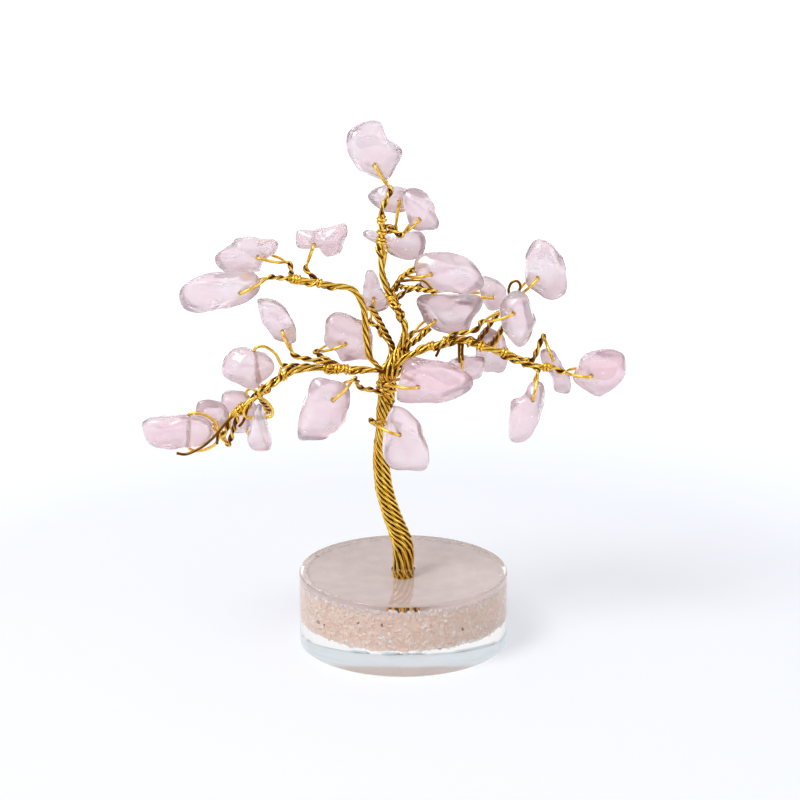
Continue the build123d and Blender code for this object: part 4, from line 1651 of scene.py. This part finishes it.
@dataclass
class Chips:
    """The tumbled rose quartz chips."""

    plan: Plan
    finish: RoseQuartz
    bore_radius: float = 0.46 * MM
    facets: int = 9

    def build(self) -> list[bpy.types.Object]:
        """Builds every chip.

        Returns:
            The pieces.
        """
        pieces = []
        for number, chip in CHIPS.items():
            frame = ChipFrame(self.plan, chip)
            piece = new_piece(f"rose_quartz_{number:02d}", self._stone(number, chip), self.finish)
            self._drill(piece, frame)
            tint = piece.data.attributes.new("pink", "FLOAT", "POINT")
            tint.data.foreach_set("value", [chip.pink] * len(piece.data.vertices))
            node = f"quartz_{number:02d}"
            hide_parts(node)
            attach(piece, node)
            pieces.append(piece)
        LOG.info("chips: %d", len(pieces))
        return pieces

    def _rim(self, chip: Chip, width: float, height: float) -> list[tuple[float, float]]:
        """The outline's angle and radius all round, in order, from a smooth line through its corners."""
        corners = [Vector((x * width, z * height, 0.0)) for x, z in chip.outline]
        smooth = Line.through(corners[-2:] + corners + corners[:3], 0.3 * MM).points
        polar = sorted((math.atan2(p.y, p.x), p.length) for p in smooth)
        return [(a - math.tau, r) for a, r in polar[-3:]] + polar + [(a + math.tau, r) for a, r in polar[:3]]

    def _stone(self, number: int, chip: Chip) -> bpy.types.Mesh:
        """A rounded stone of the chip's outline, with the soft flats and hollows that tumbling leaves."""
        dice = random.Random(700 + number)
        low, high = (Vector(corner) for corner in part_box(f"quartz_{number:02d}"))
        middle = (low + high) / 2
        span = Vector(size * grow for size, grow in zip(high - low, chip.grow))
        low = middle - span / 2
        rim = self._rim(chip, span.x, span.z)
        angles = [a for a, _ in rim]
        build = bmesh.new()
        bmesh.ops.create_icosphere(build, subdivisions=5, radius=1.0)
        flats = []
        for _ in range(self.facets):
            way = Vector((dice.gauss(0, 1), dice.gauss(0, 1), dice.gauss(0, 0.9))).normalized()
            flats.append((way, dice.uniform(0.74, 0.92)))
        shift = Vector((number * 3.1, number * 1.7, 0.0))
        for vert in build.verts:
            way = vert.co.copy()
            for flat, depth in flats:
                over = way.dot(flat) - depth
                if over > 0:
                    way -= flat * over * 0.9
            out = math.hypot(way.x, way.z)
            angle = math.atan2(way.z, way.x)
            spread = _between(angles, rim, angle) * min(1.0, out ** 0.72)
            thick = math.copysign(abs(way.y) ** 0.9, way.y)
            lump = noise.noise_vector(way * 1.4 + shift) * 0.10
            vert.co = Vector(
                (
                    math.cos(angle) * spread + lump.x * span.x * 0.3,
                    thick * span.y / 2 + lump.y * span.y * 0.9,
                    math.sin(angle) * spread + lump.z * span.z * 0.3,
                )
            )
        all_axes = {"use_axis_x": True, "use_axis_y": True, "use_axis_z": True}
        for _ in range(2):
            bmesh.ops.smooth_vert(build, verts=build.verts, factor=0.5, **all_axes)
        for axis in range(3):
            least = min(vert.co[axis] for vert in build.verts)
            most = max(vert.co[axis] for vert in build.verts)
            for vert in build.verts:
                vert.co[axis] = low[axis] + (vert.co[axis] - least) * span[axis] / (most - least)
        return mesh_of(build, f"rose_quartz_{number:02d}")

    def _drill(self, piece: bpy.types.Object, frame: ChipFrame) -> None:
        """Drills the bore through a stone."""
        build = bmesh.new()
        ends = {"radius1": self.bore_radius, "radius2": self.bore_radius, "depth": frame.size.z * 2}
        bmesh.ops.create_cone(build, cap_ends=True, segments=20, **ends)
        turn = Matrix((frame.along, frame.across, frame.bore_way)).transposed().to_4x4()
        turn.translation = frame.off_bore(0.0, 0.0)
        build.transform(turn)
        drill = placed("drill", mesh_of(build, "drill"))
        cut = piece.modifiers.new("bore", "BOOLEAN")
        cut.operation = "DIFFERENCE"
        cut.solver = "EXACT"
        cut.object = drill
        bake_modifiers(piece)
        bpy.data.objects.remove(drill)
        piece.data.shade_smooth()
        piece.data.set_sharp_from_angle(angle=math.radians(50))


def _between(angles: list[float], rim: list[tuple[float, float]], angle: float) -> float:
    """The rim's radius at an angle, from the two points on either side of it."""
    low, high = 0, len(angles) - 1
    while high - low > 1:
        middle = (low + high) // 2
        if angles[middle] <= angle:
            low = middle
        else:
            high = middle
    (a, r), (b, s) = rim[low], rim[high]
    return r if b - a < 1e-9 else r + (s - r) * (angle - a) / (b - a)


# Twigs and loops


@dataclass
class Twigs:
    """The chips' own wires: a loop through each bore, whose two legs are twisted into a twig."""

    plan: Plan
    laid: LaidWires

    def build(self) -> list[bpy.types.Object]:
        """Builds one piece for each wire node.

        Returns:
            The pieces.
        """
        pieces = []
        for numbers in WIRE_NODES:
            parts = []
            for number in numbers:
                frame = ChipFrame(self.plan, CHIPS[number])
                parts.append(self._twist(number, frame))
                parts.append(self._loop(frame))
            node = "wire_" + "_".join(f"{number:02d}" for number in numbers)
            piece = join_pieces(parts, node.replace("wire", "twig"))
            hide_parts(node)
            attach(piece, "tree")
            pieces.append(piece)
        LOG.info("twigs: %d", len(pieces))
        return pieces

    def _twist(self, number: int, frame: ChipFrame) -> bpy.types.Object:
        """The two legs, twisted together from inside the limb to the tip."""
        plan = self.plan
        twig = TWIGS[number]
        carrier = plan.limbs[twig.limb] if twig.limb else plan.trunk
        distance = carrier.length() * twig.along
        around = plan.limb_lay + plan.wire_radius if twig.limb else plan.girth(carrier.at(distance)[0].z)
        around += 0.1 * MM
        via = [plan.crown(share) for share in twig.via]
        tip = frame.tip()
        ahead = (via + [tip])[0]
        places: list[Vector] = []
        place, way, _ = carrier.at(distance)
        if twig.along < 1:
            aside = squared(ahead - place, way)
            run = min(4.5 * MM, distance * 0.8)
            for share in (1.0, 0.66, 0.33):
                spot, direction, _ = carrier.at(distance - run * share)
                out = squared(Matrix.Rotation(math.radians(200 * share), 3, direction) @ aside, direction)
                places.append(spot + out * around * (0.55 + 0.45 * (1 - share)))
            places.append(place + aside * (around + 0.25 * MM))
        else:
            places += [place - way * 2.0 * MM, place + way * 0.4 * MM]
        places += via
        last_way = (frame.off_bore(0.0, 0.0) - tip).normalized()
        places += [tip - last_way * 0.7 * MM, tip]
        line = Line.through(places, 0.3 * MM)
        line.carry_side(frame.bore_way, from_end=True)
        return self.laid.lay(
            "twist",
            [line],
            Strands=2,
            Lay_Radius=plan.pair_lay,
            Pitch=plan.twig_pitch,
            Wire_Radius=plan.wire_radius,
            Step=0.2 * MM,
            Wobble=0.1 * MM,
            Seed=float(number),
        )

    def _loop(self, frame: ChipFrame) -> bpy.types.Object:
        """The loop: down one leg, through the bore and back up the other leg."""
        plan = self.plan
        reach = frame.reach()
        tip = frame.tip()
        last_way = (frame.off_bore(0.0, 0.0) - tip).normalized()
        half = frame.half
        leg = [
            (reach + 0.45 * MM, half * 0.55 + 0.45 * MM),
            (reach * 0.55, half * 0.97 + 0.50 * MM),
            (0.60 * MM, half * 0.95 + 0.56 * MM),
            (0.10 * MM, half * 0.95 + 0.26 * MM),
            (0.0, half * 0.6),
        ]
        near = [frame.off_bore(away, up) for away, up in leg]
        far = [frame.off_bore(away, -up) for away, up in reversed(leg)]
        start = tip + frame.bore_way * plan.pair_lay
        end = tip - frame.bore_way * plan.pair_lay
        places = [start - last_way * 0.2 * MM, start + last_way * 0.1 * MM, *near, *far]
        places += [end + last_way * 0.1 * MM, end - last_way * 0.2 * MM]
        line = Line.through(places, 0.15 * MM)
        line.carry_side(frame.across)
        return self.laid.single(
            "loop", [line], Wire_Radius=plan.wire_radius, Step=0.15 * MM, Wobble=0.0, Groove=0.0
        )


def join_pieces(parts: list[bpy.types.Object], name: str) -> bpy.types.Object:
    """Joins pieces into one.

    Args:
        parts: the pieces, which are used up.
        name: the joined piece's name.

    Returns:
        The joined piece.
    """
    build = bmesh.new()
    material = parts[0].data.materials[0]
    for part in parts:
        build.from_mesh(part.data)
        bpy.data.objects.remove(part)
    mesh = mesh_of(build, name)
    mesh.materials.append(material)
    mesh.shade_smooth()
    return placed(name, mesh)


# The cast base


@dataclass
class CastBase:
    """The round resin base with its bed of crushed quartz."""

    plan: Plan
    resin: ClearResin
    quartz: CrushedQuartz
    stone: CrushedStone
    segments: int = 144
    rim_round: float = 0.35 * MM
    bed_gap: float = 0.95 * MM
    bed_depth: float = 1.6 * MM
    bed_dip: float = 4.6 * MM
    bed_sink: float = 0.1 * MM
    creep: float = 0.45 * MM

    def build(self) -> list[bpy.types.Object]:
        """Builds the disc and its bed.

        Returns:
            The pieces.
        """
        low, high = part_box("clear_pour")[0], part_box("top_pour")[1]
        radius = high[0]
        disc = new_piece("resin_disc", self._disc(radius, low[2], high[2]), self.resin)
        disc.data.set_sharp_from_angle(angle=math.radians(35))
        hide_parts("clear_pour", "top_pour")
        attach(disc, "tree")
        bed_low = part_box("quartz_bed")[0]
        inner = radius - self.bed_gap
        body = self._bed(inner, bed_low[2] - self.bed_sink, high[2] - self.bed_depth)
        bed = new_piece("crushed_bed", body, self.quartz, smooth=False)
        self.stone.apply(bed)
        bed.data.shade_flat()
        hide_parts("quartz_bed")
        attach(bed, "tree")
        LOG.info("base: disc and bed")
        return [disc, bed]

    def _disc(self, radius: float, low: float, high: float) -> bpy.types.Mesh:
        """The resin's outside, a disc with rounded rims that creeps a little way up the trunk's foot."""
        bend = self.rim_round
        profile = [(0.0, low), (radius - bend - 0.06 * MM, low), (radius - bend - 0.01 * MM, low)]
        for centre, start in ((low + bend, -90), (high - bend, 0)):
            for step in range(5):
                angle = math.radians(start + 90 * step / 4)
                out, up = math.cos(angle), math.sin(angle)
                profile.append((radius - bend + bend * out, centre + bend * up))
            if start < 0:
                profile += [(radius, low + bend + 0.05 * MM), (radius, high - bend - 0.05 * MM)]
        profile += [(radius - bend - 0.01 * MM, high), (radius - bend - 0.06 * MM, high)]
        foot = self.plan.girth(high) + self.plan.wire_radius
        for out, up in ((0.95, 0.0), (0.90, 0.0), (0.50, 0.12), (0.22, 0.45), (0.05, 0.95), (-0.25, 1.0)):
            profile.append((foot + out * MM, high + up * self.creep))
        profile.append((0.0, high + self.creep))
        return turned_mesh("resin_disc", profile, self.segments)

    def _bed(self, radius: float, low: float, high: float) -> bpy.types.Mesh:
        """The bed's body, which dips towards the trunk and sinks unevenly into the clear layer."""
        rows = 12
        profile = [(radius * share, low) for share in (0.0, 0.3, 0.6, 0.8, 0.92)]
        profile += [(radius, low + (high - low) * row / rows) for row in range(rows + 1)]
        shares = [step / 10 for step in range(9, -1, -1)]
        profile += [(radius * share, high - self.bed_dip * (1 - share)) for share in shares]
        mesh = turned_mesh("crushed_bed", profile, self.segments)
        build = bmesh.new()
        build.from_mesh(mesh)
        foot = low + 0.3 * (high - low)
        for vert in build.verts:
            place = vert.co
            if place.z < foot:
                sink = (foot - place.z) / (foot - low)
                lumps = noise.noise(place * 150.0) * 0.15 + noise.noise(place * 520.0) * 0.2
                place.z += lumps * MM * sink
        build.to_mesh(mesh)
        build.free()
        return mesh


def turned_mesh(name: str, profile: list[tuple[float, float]], segments: int) -> bpy.types.Mesh:
    """A closed shape turned about Z.

    Args:
        name: the mesh's name.
        profile: radius and height, from the axis at the bottom round the outside to the axis at the top.
        segments: how many steps there are round.

    Returns:
        The mesh, with its faces outwards.
    """
    build = bmesh.new()
    bottom = build.verts.new((0.0, 0.0, profile[0][1]))
    top = build.verts.new((0.0, 0.0, profile[-1][1]))
    rings = []
    for radius, height in profile[1:-1]:
        ring = []
        for step in range(segments):
            angle = math.tau * step / segments
            ring.append(build.verts.new((radius * math.cos(angle), radius * math.sin(angle), height)))
        rings.append(ring)
    for step in range(segments):
        after = (step + 1) % segments
        build.faces.new((bottom, rings[0][after], rings[0][step]))
        build.faces.new((top, rings[-1][step], rings[-1][after]))
        for lower, upper in zip(rings, rings[1:]):
            build.faces.new((lower[step], lower[after], upper[after], upper[step]))
    bmesh.ops.recalc_face_normals(build, faces=build.faces)
    return mesh_of(build, name)


# Light, floor and camera


@dataclass
class Studio:
    """The pale floor, the soft light and the camera."""

    camera_place: Shares = (-0.627, -362.69, 146.02)
    target: Shares = (-0.627, 0.0, 47.754)
    lens: float = 90.0
    floor_gap: float = 0.02 * MM
    card_away: float = 0.75
    card_width: float = 0.95
    card_height: float = 0.42

    def build(self) -> None:
        """Sets the studio up."""
        self._floor()
        self._cards()
        self._lamps()
        self._world()
        self._camera()
        bpy.context.scene.view_settings.view_transform = "Standard"

    def _floor(self) -> None:
        """Lays the floor."""
        build = bmesh.new()
        bmesh.ops.create_grid(build, x_segments=2, y_segments=2, size=6.0)
        floor = new_piece("floor", mesh_of(build, "floor"), PaleFloor(), smooth=False)
        floor.location.z = -self.floor_gap

    def _cards(self) -> None:
        """Stands matt dark cards all round, which nothing but mirrored sight lines meets."""
        for turn in (0, 120, 240):
            way = math.radians(turn)
            out = Vector((math.sin(way), -math.cos(way), 0.0))
            aside = Vector((-out.y, out.x, 0.0))
            middle = out * self.card_away
            corners = [
                middle + aside * across * self.card_width / 2 + UP * (up * self.card_height)
                for across, up in ((-1, 0), (1, 0), (1, 1), (-1, 1))
            ]
            mesh = bpy.data.meshes.new("dark_card")
            mesh.from_pydata([tuple(corner) for corner in corners], [], [(0, 1, 2, 3)])
            card = new_piece("dark_card", mesh, DarkCard(), smooth=False)
            card.visible_camera = card.visible_diffuse = False
            card.visible_shadow = card.visible_transmission = False

    def _lamps(self) -> None:
        """Hangs a soft key at the upper left and a weak fill at the right."""
        for name, place, size, power in (
            ("key", (-0.55, -0.45, 0.85), 0.42, 4.2),
            ("fill", (0.7, -0.5, 0.5), 0.6, 0.8),
        ):
            light = bpy.data.lights.new(name, "AREA")
            light.size = size
            light.energy = power
            lamp = placed(name, light)
            lamp.location = place
            aim = Vector((0.0, 0.0, 0.05)) - Vector(place)
            lamp.rotation_euler = aim.to_track_quat("-Z", "Y").to_euler()

    def _world(self) -> None:
        """Fills the world with soft light, white wherever it is seen."""
        world = bpy.data.worlds.new("studio")
        world.use_nodes = True
        bpy.context.scene.world = world
        board = Board(world.node_tree)
        world.node_tree.nodes.clear()
        rays = board.node("ShaderNodeLightPath")
        seen = Value(board, rays.outputs["Is Camera Ray"]) + Value(board, rays.outputs["Is Glossy Ray"])
        seen = (seen + Value(board, rays.outputs["Is Transmission Ray"])).clamped()
        tone = board.mix(seen, (0.91, 0.94, 1.0), (1.0, 1.0, 1.0))
        ambient = board.node("ShaderNodeBackground", None, tone, 0.60 + 0.40 * seen)
        board.node("ShaderNodeOutputWorld", None, ambient.outputs[0])

    def _camera(self) -> None:
        """Places the camera at the photograph's viewpoint."""
        data = bpy.data.cameras.new("camera")
        data.lens = self.lens
        data.sensor_width = 36.0
        data.clip_start = 0.01
        camera = placed("camera", data)
        place = Vector(self.camera_place) * MM
        camera.location = place
        camera.rotation_euler = (Vector(self.target) * MM - place).to_track_quat("-Z", "Y").to_euler()
        bpy.context.scene.camera = camera


def main() -> None:
    """Builds the tree's sub-assemblies in order."""
    logging.basicConfig(level=logging.INFO, format="%(name)s %(message)s")
    # Left alone, the noise that shapes the chips is seeded from the clock.
    noise.seed_set(NOISE_SEED)
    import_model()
    plan = Plan()
    laid = LaidWires(GoldWire())
    Studio().build()
    crushed = CrushedQuartz()
    CastBase(plan, ClearResin(), crushed, CrushedStone(crushed)).build()
    LimbWires(plan, laid).build()
    Twigs(plan, laid).build()
    Chips(plan, RoseQuartz()).build()


if __name__ == "__main__":
    main()
